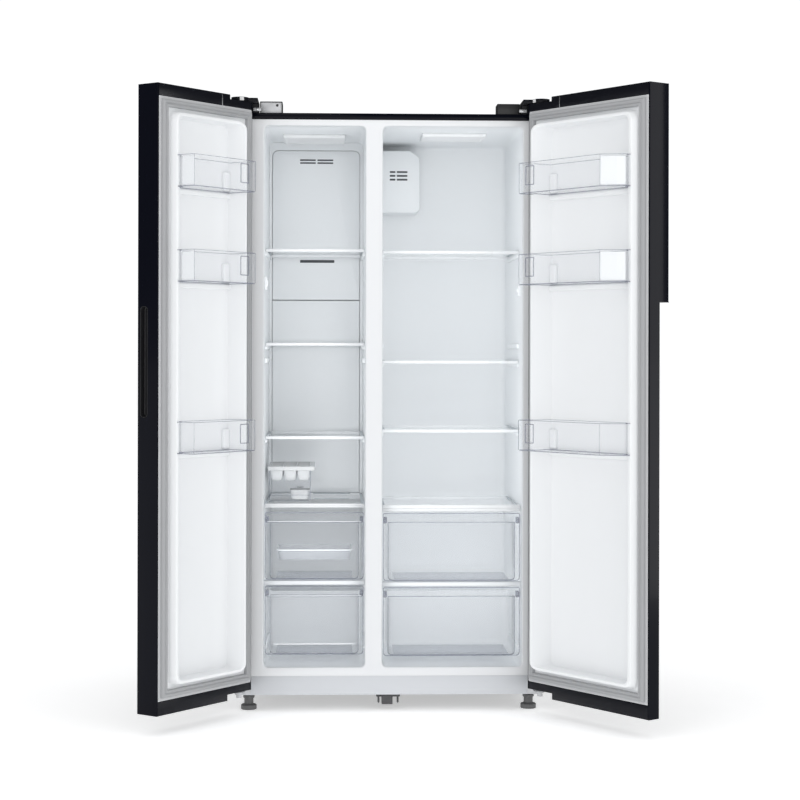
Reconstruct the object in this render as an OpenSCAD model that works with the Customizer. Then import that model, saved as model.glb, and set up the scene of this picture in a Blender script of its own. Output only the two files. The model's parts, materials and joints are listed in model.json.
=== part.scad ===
// Side by side refrigerator: a freezer on the left, a fresh food cabinet on the right, both doors open.
// X runs to the right, Y from the front to the back, Z up. The floor is Z = 0 and the plane of the
// cabinet's front flange is Y = 0, with the cabinet centred on X = 0.

/* [Cabinet] */
// Width over the painted side walls
cabinet_w = 895; // [885:1:905]
// Height of the cabinet's top from the floor
cabinet_top = 1741; // [1739:1:1743]
// Depth from the front flange to the back panel
cabinet_d = 630; // [625:1:650]
// Height of the cabinet's underside from the floor
cabinet_base = 46; // [44:1:48]
// Height of the toe panel's upper edge
toe_top = 101; // [99:1:103]
// Thickness of the painted sheet
sheet = 1.5; // [1:0.1:2]

/* [Compartments] */
// Left wall of the freezer compartment
freezer_left = -367; // [-369:1:-366]
// Right wall of the freezer compartment
freezer_right = -71.5; // [-73:0.5:-70]
// Left wall of the fresh food compartment
fridge_left = -21.5; // [-23:0.5:-20]
// Right wall of the fresh food compartment
fridge_right = 388; // [387:0.5:389]
// Floor of both compartments
cavity_floor = 126; // [124:1:128]
// Ceiling of both compartments
cavity_ceiling = 1704; // [1702:1:1705]
// Depth of both compartments from the front flange
cavity_d = 560; // [550:1:565]
// Thickness of the moulded liners
liner_t = 2.5; // [2:0.1:3]

/* [Doors] */
// Width of the freezer door
freezer_door_w = 398; // [396:1:400]
// Gap between the two closed doors
door_gap = 5; // [4:0.5:6]
// Height of the doors' top edge from the floor
door_top = 1775; // [1774:1:1776]
// Height of the doors' bottom edge from the floor
door_bottom = 55.5; // [54:0.5:57]
// Thickness of the doors
door_t = 74.5; // [73:0.5:76]
// Gap between the closed door and the front flange, filled by the gasket
gasket_gap = 12; // [12:0.5:13]
// Hinge axis, inward from the door's side
hinge_in = 12; // [11.5:0.5:12.5]
// Hinge axis, forward of the door's inner face
hinge_out = 36.5; // [36:0.5:37]
// Angle at which the freezer door stands open
freezer_open = 127.5; // [0:0.5:128]
// Angle at which the fresh food door stands open
fridge_open = 125.5; // [0:0.5:128]

/* [Shelves and drawers] */
// Front edge of the shelves, behind the front flange
shelf_front = 98; // [96:1:100]
// Front face of the drawers, behind the front flange
drawer_front = 42; // [40:1:46]
// Height of a door bin
bin_h = 87; // [80:1:90]
// Thickness of clear mouldings
clear_t = 2.5; // [2:0.1:3]

/* [Hidden] */
$fn = 48;

half_w = cabinet_w / 2;
inner_half = half_w - sheet;
shell_back = cabinet_d - 2;
fridge_door_w = cabinet_w - door_gap - freezer_door_w;
flange_top = cabinet_top - 19;
lip_w = 10;
frame_half = inner_half - lip_w;
frame_t = 10;
hinge_x = half_w - hinge_in;
hinge_y = -(gasket_gap + hinge_out);

// The compressor stands in a compartment under a step in both liners.
step_y = 400;
step_z = 300;
bay_front = 425;
bay_top = 275;
bay_floor = cabinet_base + 4;

freezer_shelf_z = [1346, 1068, 791];
fridge_shelf_z = [1342, 1016, 811];
cover_z = 594;
fridge_cover_z = 586;
trim_h = 9;
glass_t = 5;
glass_drop = 1.5;
cover_trim_h = 12;
fridge_cover_h = 20;
cover_under = cover_z + cover_trim_h / 2 - glass_t;
shelf_back = 448;
duct_y = 457;
duct_t = 12;
duct_top = 1679;
duct_seam = 1208;
wall_gap = 2;

upper_drawer = [377, 574];
lower_drawer = [157, 358];
fridge_upper = [372, 571];
fridge_lower = [152, 353];
upper_drawer_d = 400;
lower_drawer_d = 335;
drawer_side = 14;

foot_x = 410;
foot_y = 35;
roller_x = 400;
roller_y = 570;
roller_r = 22;

pin_r = 5;
pin_play = 0.05;
bush_r = 9;
cap_top_h = 35;
cap_bottom_h = 40;
notch_top_h = 13;
notch_top_w = 97;
notch_bottom_h = 17.5;
notch_bottom_w = 104;
notch_depth = door_t - 8;
skin_lip = 5;

bin_z = [1494, 1236, 767];
grip_z = [865, 1169];
grip_y = [-64.5, -35];
grip_d = 20;
channel_top = 1183;
channel_w = 45;
channel_y = -37;
channel_t = 2;

painted = [0.05, 0.055, 0.075];
white = [0.95, 0.96, 0.97];
clear = [0.8, 0.87, 0.92, 0.4];
steel = [0.72, 0.73, 0.74];

// A block from its lowest corner to its highest.
module slab(lo, hi) {
  translate(lo) cube(hi - lo);
}

// A cylinder along Y from y0 to y1.
module rod_y(x, z, y0, y1, r) {
  translate([x, y0, z]) rotate([-90, 0, 0]) cylinder(h = y1 - y0, r = r);
}

// A cylinder along X from x0 to x1.
module rod_x(y, z, x0, x1, r) {
  translate([x0, y, z]) rotate([0, 90, 0]) cylinder(h = x1 - x0, r = r);
}

// The same thing on the left and on the right.
module both_sides() {
  children();
  mirror([1, 0, 0]) children();
}

// The space inside a liner, grown by its wall, with the step over the compressor.
module cavity(x0, x1, grow) {
  slab([x0 - grow, frame_t - grow / 5, cavity_floor - grow],
    [x1 + grow, step_y + grow, cavity_ceiling + grow]);
  slab([x0 - grow, frame_t - grow / 5, step_z - grow], [x1 + grow, cavity_d + grow, cavity_ceiling + grow]);
}

// ---- Cabinet ----

module cabinet_shell() {
  color(painted) {
    difference() {
      slab([-half_w, 0, cabinet_base], [half_w, shell_back, cabinet_top]);
      slab([-inner_half, -1, cabinet_base - 1], [inner_half, shell_back + 1, cabinet_top - sheet]);
    }
    slab([-inner_half, 0, flange_top], [inner_half, sheet, cabinet_top - sheet]);
    both_sides() slab([frame_half, 0, toe_top], [inner_half, sheet, flange_top]);
  }
}

module front_frame() {
  color(white) difference() {
    slab([-frame_half, 0, toe_top], [frame_half, frame_t, flange_top]);
    slab([freezer_left, -1, cavity_floor], [freezer_right, frame_t + 1, cavity_ceiling]);
    slab([fridge_left, -1, cavity_floor], [fridge_right, frame_t + 1, cavity_ceiling]);
  }
}

// One moulded liner with the ledges that carry its shelves and drawers.
module liner(x0, x1, glass_z, ledge_z) {
  ledge_w = 6;
  ledge_h = 13.5;
  difference() {
    intersection() {
      cavity(x0, x1, liner_t);
      slab([x0 - 9, frame_t, 0], [x1 + 9, cabinet_d, cabinet_top]);
    }
    cavity(x0, x1, 0);
    slab([x0, 0, cavity_floor], [x1, frame_t + 1, cavity_ceiling]);
  }
  for (z = glass_z) {
    slab([x0, shelf_front + 14, z - ledge_h], [x0 + ledge_w, shelf_back - 20, z]);
    slab([x1 - ledge_w, shelf_front + 14, z - ledge_h], [x1, shelf_back - 20, z]);
  }
  for (z = ledge_z) {
    slab([x0, drawer_front + 30, z], [x0 + ledge_w, step_y - 30, z + 5]);
    slab([x1 - ledge_w, drawer_front + 30, z], [x1, step_y - 30, z + 5]);
  }
}

module freezer_liner() {
  color(white) liner(freezer_left, freezer_right,
    concat([for (z = freezer_shelf_z) z - glass_drop], [cover_under]), [lower_drawer[0] + 13]);
}

module fridge_liner() {
  color(white) liner(fridge_left, fridge_right,
    [for (z = concat(fridge_shelf_z, [fridge_cover_z])) z - glass_drop], [fridge_lower[0] + 13]);
}

module insulation() {
  color("khaki") difference() {
    slab([-inner_half, frame_t, bay_floor], [inner_half, cabinet_d - 4, cabinet_top - sheet]);
    cavity(freezer_left, freezer_right, liner_t);
    cavity(fridge_left, fridge_right, liner_t);
    slab([-half_w, bay_front, 0], [half_w, cabinet_d, bay_top]);
    slab([-half_w, 0, 0], [half_w, 60, toe_top]);
  }
}

module back_panel() {
  color("silver") slab([-inner_half, cabinet_d - 4, bay_top], [inner_half, shell_back, cabinet_top - sheet]);
}

module toe_panel() {
  color([0.82, 0.83, 0.84]) {
    slab([-inner_half, 0, cabinet_base], [inner_half, 3, toe_top]);
    slab([-inner_half + 20, 3, toe_top - 14], [inner_half - 20, frame_t, toe_top - 10]);
  }
}

module base_pan() {
  color("dimgray") difference() {
    union() {
      slab([-inner_half, frame_t, cabinet_base], [inner_half, cabinet_d - 4, bay_floor]);
      both_sides() translate([foot_x, foot_y, bay_floor]) cylinder(h = 22, r = 11);
    }
    both_sides() translate([foot_x, foot_y, 0]) cylinder(h = 200, r = pin_r + 0.1);
  }
}

// ---- Cooling machinery ----

module compressor_cover() {
  slots = 14;
  color("dimgray") difference() {
    slab([-inner_half + 4, cabinet_d - 6, bay_floor], [inner_half - 4, cabinet_d - 4, bay_top - 2]);
    for (i = [0:slots - 1]) for (side = [-1, 1]) {
      x = side * 240 - 130 + i * 20;
      slab([x, cabinet_d - 9, 110], [x + 8, cabinet_d, 220]);
    }
  }
}

module compressor() {
  color([0.1, 0.1, 0.11]) translate([-270, 525, 0]) {
    rotate_extrude()
      polygon([[0, 66], [62, 66], [78, 84], [80, 140], [80, 150], [76, 190], [54, 218], [0, 228]]);
    difference() {
      slab([-105, -65, 60], [105, 65, 66]);
      for (x = [-90, 90]) for (y = [-50, 50]) translate([x, y, 50]) cylinder(h = 20, r = 8);
    }
  }
}

module compressor_mounts() {
  color([0.15, 0.15, 0.15]) translate([-270, 525, 0])
    for (x = [-90, 90]) for (y = [-50, 50]) translate([x, y, 0]) {
      translate([0, 0, bay_floor]) cylinder(h = 10, r = 12);
      translate([0, 0, bay_floor + 10]) cylinder(h = 9, r = 7.5);
    }
}

module condenser() {
  passes = 6;
  color([0.12, 0.12, 0.13]) {
    for (x = [60, 300]) slab([x, 470, 64], [x + 2, 600, 236]);
    for (i = [0:passes - 1]) for (y = [495, 535, 575]) rod_x(y, 80 + i * 28, 50, 312, 4);
  }
}

// A four-bladed axial fan on a hub, turning about Y.
module fan(hub_r, blade_r, depth) {
  rotate([90, 0, 0]) difference() {
    union() {
      cylinder(h = depth, r = hub_r, center = true);
      for (a = [0:90:270]) rotate([0, 0, a]) translate([hub_r - 2, 0, 0]) rotate([28, 0, 0])
        translate([0, -blade_r / 4, -1]) cube([blade_r - hub_r, blade_r / 2, 2]);
    }
    cylinder(h = depth * 2, r = 3 + pin_play, center = true);
  }
}

condenser_fan_at = [-20, 520, 150];
evaporator_fan_at = [-219, 500, 1290];

module condenser_fan() {
  color("black") translate(condenser_fan_at) fan(16, 62, 24);
}

module evaporator_fan() {
  color("black") translate(evaporator_fan_at) fan(14, 48, 20);
}

// A motor behind each fan, with its shaft through the hub.
module fan_motors() {
  color("silver") {
    translate(condenser_fan_at) {
      rod_y(0, 0, 20, 60, 24);
      rod_y(0, 0, -16, 20, 3);
      slab([-6, 60, -100], [6, 64, 30]);
    }
    translate(evaporator_fan_at) {
      rod_y(0, 0, 18, 44, 20);
      rod_y(0, 0, -14, 18, 3);
      slab([-5, 44, -40], [5, cavity_d - evaporator_fan_at[1], 40]);
    }
  }
}

module drain_pan() {
  color([0.3, 0.3, 0.32]) difference() {
    slab([50, 445, bay_floor], [330, 465, 80]);
    slab([53, 448, bay_floor + 3], [327, 462, 81]);
  }
}

module evaporator() {
  fins = 22;
  color("silver") {
    for (i = [0:fins - 1]) {
      x = -340 + i * 11.5;
      slab([x, 485, 760], [x + 0.6, 540, 1100]);
    }
    for (z = [790:50:1080]) for (y = [500, 525]) rod_x(y, z, -346, -92, 4);
  }
}

cover_x = [-357, -82];
cover_bottom = 602;

// The upper and the lower cover, and the wall round them, a hair away.
module freezer_duct_covers() {
  vent_w = 50;
  gap = 1;
  back = duct_y + duct_t;
  color(white) {
    difference() {
      union() {
        slab([cover_x[0], duct_y, duct_seam + 1], [cover_x[1], back, duct_top]);
        slab([cover_x[0], duct_y, cover_bottom], [cover_x[1], back, duct_seam - 1]);
      }
      for (x = [-271, -216]) for (z = [1638, 1647]) slab([x, duct_y - 1, z], [x + vent_w, back + 1, z + 5]);
      slab([-270, duct_y - 1, 1326], [-162, back + 1, 1335]);
    }
    difference() {
      slab([freezer_left, duct_y + 1, cover_bottom - 20], [freezer_right, back - 1, cavity_ceiling]);
      slab([cover_x[0] - gap, duct_y, cover_bottom - gap], [cover_x[1] + gap, back, duct_top + gap]);
    }
  }
}

// ---- Fresh food air duct with its damper ----

duct_x = [fridge_left, 107];
duct_z = [1484, 1680];
duct_front = 452;
damper_at = [43, 500, 1540];

module fridge_air_duct() {
  color(white) difference() {
    translate([0, cavity_d, 0]) rotate([90, 0, 0]) linear_extrude(cavity_d - duct_front)
      polygon([[duct_x[0], duct_z[0]], [duct_x[1], duct_z[0]], [duct_x[1], duct_z[1] - 22],
        [duct_x[1] - 30, duct_z[1]], [duct_x[0], duct_z[1]]]);
    slab([duct_x[0] + 3, duct_front + 3, duct_z[0] + 3], [duct_x[1] - 3, cavity_d + 1, duct_z[1] - 26]);
    for (z = [1586, 1598, 1610]) {
      slab([12, duct_front - 1, z], [30, duct_front + 4, z + 6]);
      slab([34, duct_front - 1, z], [68, duct_front + 4, z + 6]);
    }
  }
}

module damper_flap() {
  color("lightgray") {
    translate([damper_at[0], damper_at[1], damper_at[2]]) slab([-48, -1, 5], [48, 1, 52]);
    rod_x(damper_at[1], damper_at[2], -8, 94, 4);
    translate([damper_at[0], damper_at[1], damper_at[2]]) slab([-48, -1, 0], [48, 1, 6]);
  }
}

module ceiling_lamps() {
  color("white") {
    slab([-318, 225, cavity_ceiling - 10], [-130, 410, cavity_ceiling]);
    slab([102, 170, cavity_ceiling - 10], [294, 315, cavity_ceiling]);
  }
}

// ---- Shelves ----

// One shelf's glass, from its underside up.
module shelf_glass(x0, x1, y0, under, back) {
  slab([x0 + wall_gap, y0 + 6, under], [x1 - wall_gap, back, under + glass_t]);
}

// One shelf's front trim, a bar with the glass let into its back, under a lip or flush with its top.
module shelf_trim(x0, x1, y0, z, h, under, flush = false) {
  groove_top = flush ? z + h : under + glass_t;
  difference() {
    slab([x0 + wall_gap, y0, z - h / 2], [x1 - wall_gap, y0 + 12, z + h / 2]);
    slab([x0, y0 + 6, under], [x1, y0 + 13, groove_top]);
  }
}

module freezer_shelf_glass() {
  color(clear) {
    for (z = freezer_shelf_z)
      shelf_glass(freezer_left, freezer_right, shelf_front, z - glass_drop, shelf_back);
    shelf_glass(freezer_left, freezer_right, drawer_front, cover_under, shelf_back);
  }
}

module freezer_shelf_trims() {
  color(white) {
    for (z = freezer_shelf_z)
      shelf_trim(freezer_left, freezer_right, shelf_front, z, trim_h, z - glass_drop);
    shelf_trim(freezer_left, freezer_right, drawer_front, cover_z, cover_trim_h, cover_under, true);
  }
}

module fridge_shelf_glass() {
  color(clear) {
    for (z = fridge_shelf_z)
      shelf_glass(fridge_left, fridge_right, shelf_front, z - glass_drop, shelf_back);
    shelf_glass(fridge_left, fridge_right, drawer_front, fridge_cover_z - glass_drop, shelf_back);
  }
}

module fridge_shelf_trims() {
  color(white) {
    for (z = fridge_shelf_z)
      shelf_trim(fridge_left, fridge_right, shelf_front, z, trim_h, z - glass_drop);
    shelf_trim(fridge_left, fridge_right, drawer_front, fridge_cover_z, fridge_cover_h,
      fridge_cover_z - glass_drop);
  }
}

module drawer_rails() {
  color(white) {
    slab([freezer_left, drawer_front + 2, 361], [freezer_right, drawer_front + 22, 374]);
    slab([fridge_left, drawer_front + 2, 356], [fridge_right, drawer_front + 22, 369]);
  }
}

// ---- Drawers ----

// A clear drawer: a wide front on a narrower open box.
module drawer(x0, x1, z, depth) {
  body_top = z[1] - 26;
  y1 = drawer_front + depth;
  color(clear) difference() {
    union() {
      slab([x0, drawer_front, z[0]], [x1, drawer_front + 5, z[1]]);
      slab([x0 + drawer_side, drawer_front + 5, z[0]], [x1 - drawer_side, y1, body_top]);
    }
    slab([x0 + drawer_side + clear_t, drawer_front + 8, z[0] + clear_t],
      [x1 - drawer_side - clear_t, y1 - clear_t, z[1] + 1]);
  }
}

module freezer_upper_drawer() {
  drawer(freezer_left + 3, freezer_right - 4, upper_drawer, upper_drawer_d);
}

module freezer_lower_drawer() {
  drawer(freezer_left + 3, freezer_right - 4, lower_drawer, lower_drawer_d);
}

module fridge_upper_drawer() {
  drawer(fridge_left + 4, fridge_right - 3, fridge_upper, upper_drawer_d);
}

module fridge_lower_drawer() {
  drawer(fridge_left + 4, fridge_right - 3, fridge_lower, lower_drawer_d);
}

// ---- Ice making ----

ice_x = [-357, -229];
ice_y = [120, 380];
ice_floor = cover_under + glass_t + 0.3;
ice_rim = 692;
cups_x = [-353, -233];
cups_floor = 660;

module ice_bin() {
  color(clear) difference() {
    slab([ice_x[0], ice_y[0], ice_floor], [ice_x[1], ice_y[1], ice_rim]);
    slab([ice_x[0] + clear_t, ice_y[0] + clear_t, ice_floor + clear_t],
      [ice_x[1] - clear_t, ice_y[1] - clear_t, ice_rim + 1]);
  }
}

// The tray rests on the bin's rim, with its cups hanging inside.
module ice_tray() {
  columns = 3;
  rows = 6;
  wall = 1.5;
  y0 = ice_y[0] + 4;
  pitch = [(cups_x[1] - cups_x[0]) / columns, (ice_y[1] - 4 - y0) / rows];
  color(white) difference() {
    union() {
      slab([ice_x[0] - 2, ice_y[0] - 1, ice_rim], [ice_x[1] + 9, ice_y[1] + 1, ice_rim + 12]);
      slab([cups_x[0], y0, cups_floor], [cups_x[1], ice_y[1] - 4, ice_rim + 1]);
    }
    for (i = [0:columns - 1]) for (j = [0:rows - 1])
      translate([cups_x[0] + i * pitch[0], y0 + j * pitch[1], cups_floor + wall])
        slab([wall, wall, 0], [pitch[0] - wall, pitch[1] - wall, 60]);
  }
}

// ---- Hinges ----

tongue_z = door_top - notch_top_h + 1;
tongue_t = 3.5;

// The left-hand top hinge: a plate on the cabinet's top, a riser, a tongue over the door and its pin.
module top_hinge() {
  slab([-half_w + 4, 6, cabinet_top], [-half_w + 58, 90, cabinet_top + 3]);
  slab([-half_w + 4, 6, cabinet_top + 3], [-half_w + 40, 10, tongue_z + tongue_t]);
  slab([-hinge_x - 8, hinge_y, tongue_z], [-hinge_x + 20, 6, tongue_z + tongue_t]);
  translate([-hinge_x, hinge_y, tongue_z]) cylinder(h = tongue_t, r = 14);
  translate([-hinge_x, hinge_y, tongue_z - 22]) cylinder(h = 22, r = pin_r);
}

module top_hinges() {
  color(steel) both_sides() top_hinge();
}

module hinge_covers() {
  top = door_top + 3;
  color(painted) both_sides() difference() {
    union() {
      translate([-hinge_x, hinge_y, tongue_z + tongue_t]) cylinder(h = top - tongue_z - tongue_t, r = 25);
      slab([-half_w + 1, hinge_y, tongue_z + tongue_t], [-half_w + 63, 100, top]);
      slab([-half_w + 1, 2, cabinet_top], [-half_w + 63, 100, tongue_z + tongue_t]);
    }
    slab([-half_w + 3, 5, cabinet_top - 1], [-half_w + 59, 98, tongue_z + tongue_t + 0.5]);
    slab([-hinge_x - 9, -20, cabinet_top - 1], [-hinge_x + 21, 6, tongue_z + tongue_t]);
  }
}

bottom_tongue = 60;

// The left-hand bottom hinge: a plate on the cabinet's front, a tongue under the door and its pin.
module bottom_hinge() {
  slab([-half_w + 2, -3, cabinet_base + 2], [-half_w + 44, 0, 88]);
  slab([-hinge_x - 10, hinge_y, bottom_tongue], [-hinge_x + 18, -3, bottom_tongue + 5]);
  translate([-hinge_x, hinge_y, bottom_tongue]) cylinder(h = 5, r = 13);
  translate([-hinge_x, hinge_y, bottom_tongue + 5]) cylinder(h = 27, r = pin_r);
  translate([-hinge_x, hinge_y, bottom_tongue - 12]) cylinder(h = 12, r = 8);
}

module bottom_hinges() {
  color(steel) both_sides() bottom_hinge();
}

module wiring_boxes() {
  color(steel) difference() {
    slab([-380, 20, cabinet_top], [-315, 80, cabinet_top + 35]);
    rod_y(-330, cabinet_top + 24, 10, 30, 4);
  }
  color(painted) slab([314, 20, cabinet_top], [380, 80, cabinet_top + 33]);
}

// ---- Feet, rollers and brackets ----

// A levelling foot: a broad sole, a knurled stem and the screw above it.
module foot(x) {
  color([0.35, 0.35, 0.36]) translate([x, foot_y, 0]) rotate_extrude()
    polygon([[0, 0], [20, 0], [23, 3], [23, 12], [20, 15], [14, 17], [14, 33], [17, 34], [17, 40],
      [pin_r, 41], [pin_r, 70], [0, 70]]);
}

module front_foot_left() {
  foot(-foot_x);
}

module front_foot_right() {
  foot(foot_x);
}

module roller(x) {
  color("dimgray") difference() {
    rod_x(roller_y, roller_r, x - 9, x + 9, roller_r);
    rod_x(roller_y, roller_r, x - 10, x + 10, 4 + pin_play);
  }
}

module rear_roller_left() {
  roller(-roller_x);
}

module rear_roller_right() {
  roller(roller_x);
}

// A fork on each side, with the roller's axle through it.
module roller_brackets() {
  color("silver") for (x = [-roller_x, roller_x]) {
    for (side = [-1, 1]) {
      ear = x + side * 12;
      slab([ear - 1.5, roller_y - 14, 12], [ear + 1.5, roller_y + 14, cabinet_base]);
    }
    rod_x(roller_y, roller_r, x - 15, x + 15, 4);
  }
}

module centre_bracket() {
  color([0.3, 0.3, 0.31]) {
    slab([-22, 4, 17], [10, 40, cabinet_base]);
    slab([-38, 12, 38], [32, 24, cabinet_base]);
    for (x = [-34, 22]) slab([x, 14, 20], [x + 6, 22, 38]);
  }
}

module cord_gland() {
  color([0.1, 0.1, 0.1]) difference() {
    union() {
      rod_y(380, 320, shell_back, cabinet_d, 14);
      rod_y(380, 320, cabinet_d, cabinet_d + 6, 9);
    }
    rod_y(380, 320, shell_back + 1, cabinet_d + 10, 4);
  }
}

// ---- Doors ----
// A door is drawn closed and hinged on the left: X from its hinge side, Y from its inner face
// towards the cabinet. freezer_swing and fridge_swing put it on its hinge, open.

module freezer_swing() {
  translate([-hinge_x, hinge_y, 0]) rotate([0, 0, -freezer_open])
    translate([-hinge_in, hinge_out, 0]) children();
}

module fridge_swing() {
  mirror([1, 0, 0]) translate([-hinge_x, hinge_y, 0]) rotate([0, 0, -fridge_open])
    translate([-hinge_in, hinge_out, 0]) children();
}

// The clearance for the hinges at a door's corners.
module hinge_notches() {
  slab([-1, -notch_depth, door_top - notch_top_h], [notch_top_w, 1, door_top + 1]);
  slab([-1, -notch_depth, door_bottom - 1], [notch_bottom_w, 1, door_bottom + notch_bottom_h]);
}

// The hand channel down the free edge of the fresh food door.
module channel_cut(w) {
  slab([w - channel_w, -door_t - 1, door_bottom - 1], [w + 1, channel_y, channel_top]);
}

// The grip pocket in the free edge of the freezer door.
module grip_cut(w) {
  slab([w - grip_d, grip_y[0], grip_z[0]], [w + 1, grip_y[1], grip_z[1]]);
}

// A painted front and two side walls, each with a lip on the inner face.
module door_skin(w) {
  color(painted) difference() {
    slab([0, -door_t, door_bottom], [w, 0, door_top]);
    slab([sheet, -door_t + sheet, door_bottom - 1], [w - sheet, -sheet, door_top + 1]);
    slab([skin_lip, -sheet - 1, door_bottom - 1], [w - skin_lip, 1, door_top + 1]);
    hinge_notches();
    children();
  }
}

// The plastic caps that close a door's two ends, with the bores for the hinge bushes.
module door_end_caps(w) {
  color([0.09, 0.09, 0.1]) difference() {
    union() {
      slab([sheet, -door_t + sheet, door_top - cap_top_h], [w - sheet, -sheet, door_top]);
      slab([skin_lip, -sheet, door_top - cap_top_h], [w - skin_lip, 0, door_top]);
      slab([sheet, -door_t + sheet, door_bottom], [w - sheet, -sheet, door_bottom + cap_bottom_h]);
      slab([skin_lip, -sheet, door_bottom], [w - skin_lip, 0, door_bottom + cap_bottom_h]);
    }
    hinge_notches();
    translate([hinge_in, -hinge_out, 0]) cylinder(h = door_top * 2, r = bush_r);
    children();
  }
}

// A bush at the top and one at the bottom for the hinge pins.
module door_bushes() {
  color("ivory") translate([hinge_in, -hinge_out, 0]) difference() {
    union() {
      translate([0, 0, door_top - cap_top_h]) cylinder(h = cap_top_h - notch_top_h, r = bush_r);
      translate([0, 0, door_bottom + notch_bottom_h])
        cylinder(h = cap_bottom_h - notch_bottom_h, r = bush_r);
    }
    cylinder(h = door_top * 2, r = pin_r + pin_play);
  }
}

module door_foam(w) {
  color("khaki") difference() {
    slab([sheet, -door_t + sheet, door_bottom + cap_bottom_h], [w - sheet, -13, door_top - cap_top_h]);
    children();
  }
}

// The moulded inner panel. hinge_ridge and free_ridge are cross-sections that stand towards the cabinet.
module door_liner(w, hinge_ridge, free_ridge) {
  z0 = door_bottom + cap_bottom_h;
  z1 = door_top - cap_top_h;
  ridge_z = [z0 + 38, z1 - 38];
  floor_x = [hinge_ridge[4][0], free_ridge[0][0]];
  color(white) difference() {
    union() {
      slab([sheet, -13, z0], [w - sheet, -sheet, z1]);
      slab([skin_lip, -sheet, z0], [w - skin_lip, 0, z1]);
      translate([0, 0, ridge_z[0]]) linear_extrude(ridge_z[1] - ridge_z[0]) polygon(hinge_ridge);
      translate([0, 0, ridge_z[0]]) linear_extrude(ridge_z[1] - ridge_z[0]) polygon(free_ridge);
      for (z = [ridge_z[0], ridge_z[1] - 12]) slab([floor_x[0], -10, z], [floor_x[1], 26, z + 12]);
    }
    slab([floor_x[0], -10, ridge_z[0] + 12], [floor_x[1], 1, ridge_z[1] - 12]);
  }
}

// The magnetic seal: a soft bulb on a thin foot that reaches the door's hinge side.
module door_gasket(w) {
  z0 = door_bottom + cap_bottom_h + 1;
  z1 = door_top - cap_top_h - 1;
  bulb = gasket_gap - 0.5;
  band = 27;
  color([0.55, 0.56, 0.57]) difference() {
    union() {
      slab([hinge_in, 0, z0], [w - skin_lip - 1, bulb, z1]);
      slab([skin_lip, 0, z0], [hinge_in, 2, z1]);
    }
    slab([skin_lip + band, -1, z0 + band], [w - skin_lip - band, bulb + 1, z1 - band]);
  }
}

// Clear bins that hook over the ridges; outer and inner are the outlines of a bin and of its inside.
module door_bins(outer, inner) {
  color(clear) for (z = bin_z) translate([0, 0, z]) difference() {
    linear_extrude(bin_h) polygon(outer);
    translate([0, 0, clear_t]) linear_extrude(bin_h) polygon(inner);
  }
}

// Freezer door outlines: X from the hinge side, Y towards the cabinet.
freezer_hinge_ridge = [[78, -5], [82, 10], [84, 52], [90, 52], [97, -5]];
freezer_free_ridge = [[337, -5], [341, 29], [351, 29], [358, -5]];
freezer_bin = [[98, 2], [98, 56], [90, 58], [92, 90], [350, 90], [352, 45], [352, 31], [336, 31], [334, 2]];
freezer_bin_in = [[100.5, 4.5], [100.5, 59], [92.6, 60], [94.5, 87.5], [347.6, 87.5], [349.5, 45],
  [349.5, 33.5], [333.5, 33.5], [331.5, 4.5]];

// Fresh food door outlines.
fridge_hinge_ridge = [[57, -5], [61.5, 10], [66, 52], [73, 52], [90, -5]];
fridge_free_ridge = [[432, -5], [438, 29], [450, 29], [458, -5]];
fridge_bin = [[92, 2], [92, 56], [65, 58], [67, 97], [400, 97], [450, 47], [450, 31], [433, 31], [430, 2]];
fridge_bin_in = [[94.5, 4.5], [94.5, 59], [67.6, 60], [69.4, 94.5], [399, 94.5], [447.5, 46],
  [447.5, 33.5], [430.5, 33.5], [427.5, 4.5]];

module freezer_door_skin() {
  freezer_swing() door_skin(freezer_door_w) grip_cut(freezer_door_w);
}

module freezer_door_foam() {
  freezer_swing() door_foam(freezer_door_w) grip_cut(freezer_door_w);
}

module freezer_door_liner() {
  freezer_swing() door_liner(freezer_door_w, freezer_hinge_ridge, freezer_free_ridge);
}

module freezer_door_gasket() {
  freezer_swing() door_gasket(freezer_door_w);
}

module freezer_door_end_caps() {
  freezer_swing() door_end_caps(freezer_door_w);
}

module freezer_door_bushes() {
  freezer_swing() door_bushes();
}

// A cup that lines the grip pocket.
module freezer_door_grip() {
  w = freezer_door_w;
  wall = 2;
  color([0.06, 0.06, 0.07]) freezer_swing() difference() {
    slab([w - grip_d, grip_y[0], grip_z[0]], [w, grip_y[1], grip_z[1]]);
    slab([w - grip_d + wall, grip_y[0] + wall, grip_z[0] + wall],
      [w + 1, grip_y[1] - wall, grip_z[1] - wall]);
  }
}

module freezer_door_bins() {
  freezer_swing() door_bins(freezer_bin, freezer_bin_in);
}

module fridge_door_skin() {
  fridge_swing() door_skin(fridge_door_w) channel_cut(fridge_door_w);
}

module fridge_door_foam() {
  fridge_swing() door_foam(fridge_door_w) channel_cut(fridge_door_w);
}

module fridge_door_liner() {
  fridge_swing() door_liner(fridge_door_w, fridge_hinge_ridge, fridge_free_ridge);
}

module fridge_door_gasket() {
  fridge_swing() door_gasket(fridge_door_w);
}

module fridge_door_end_caps() {
  fridge_swing() door_end_caps(fridge_door_w) channel_cut(fridge_door_w);
}

module fridge_door_bushes() {
  fridge_swing() door_bushes();
}

// An angle that lines the hand channel.
module fridge_door_grip() {
  w = fridge_door_w;
  x0 = w - channel_w;
  color([0.06, 0.06, 0.07]) fridge_swing() {
    slab([x0, channel_y - channel_t, door_bottom], [w, channel_y, channel_top]);
    slab([x0, -door_t, door_bottom], [x0 + channel_t, channel_y - channel_t, channel_top]);
    slab([x0 + channel_t, -door_t, channel_top - channel_t], [w, channel_y - channel_t, channel_top]);
  }
}

module fridge_door_bins() {
  fridge_swing() door_bins(fridge_bin, fridge_bin_in);
}

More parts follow.
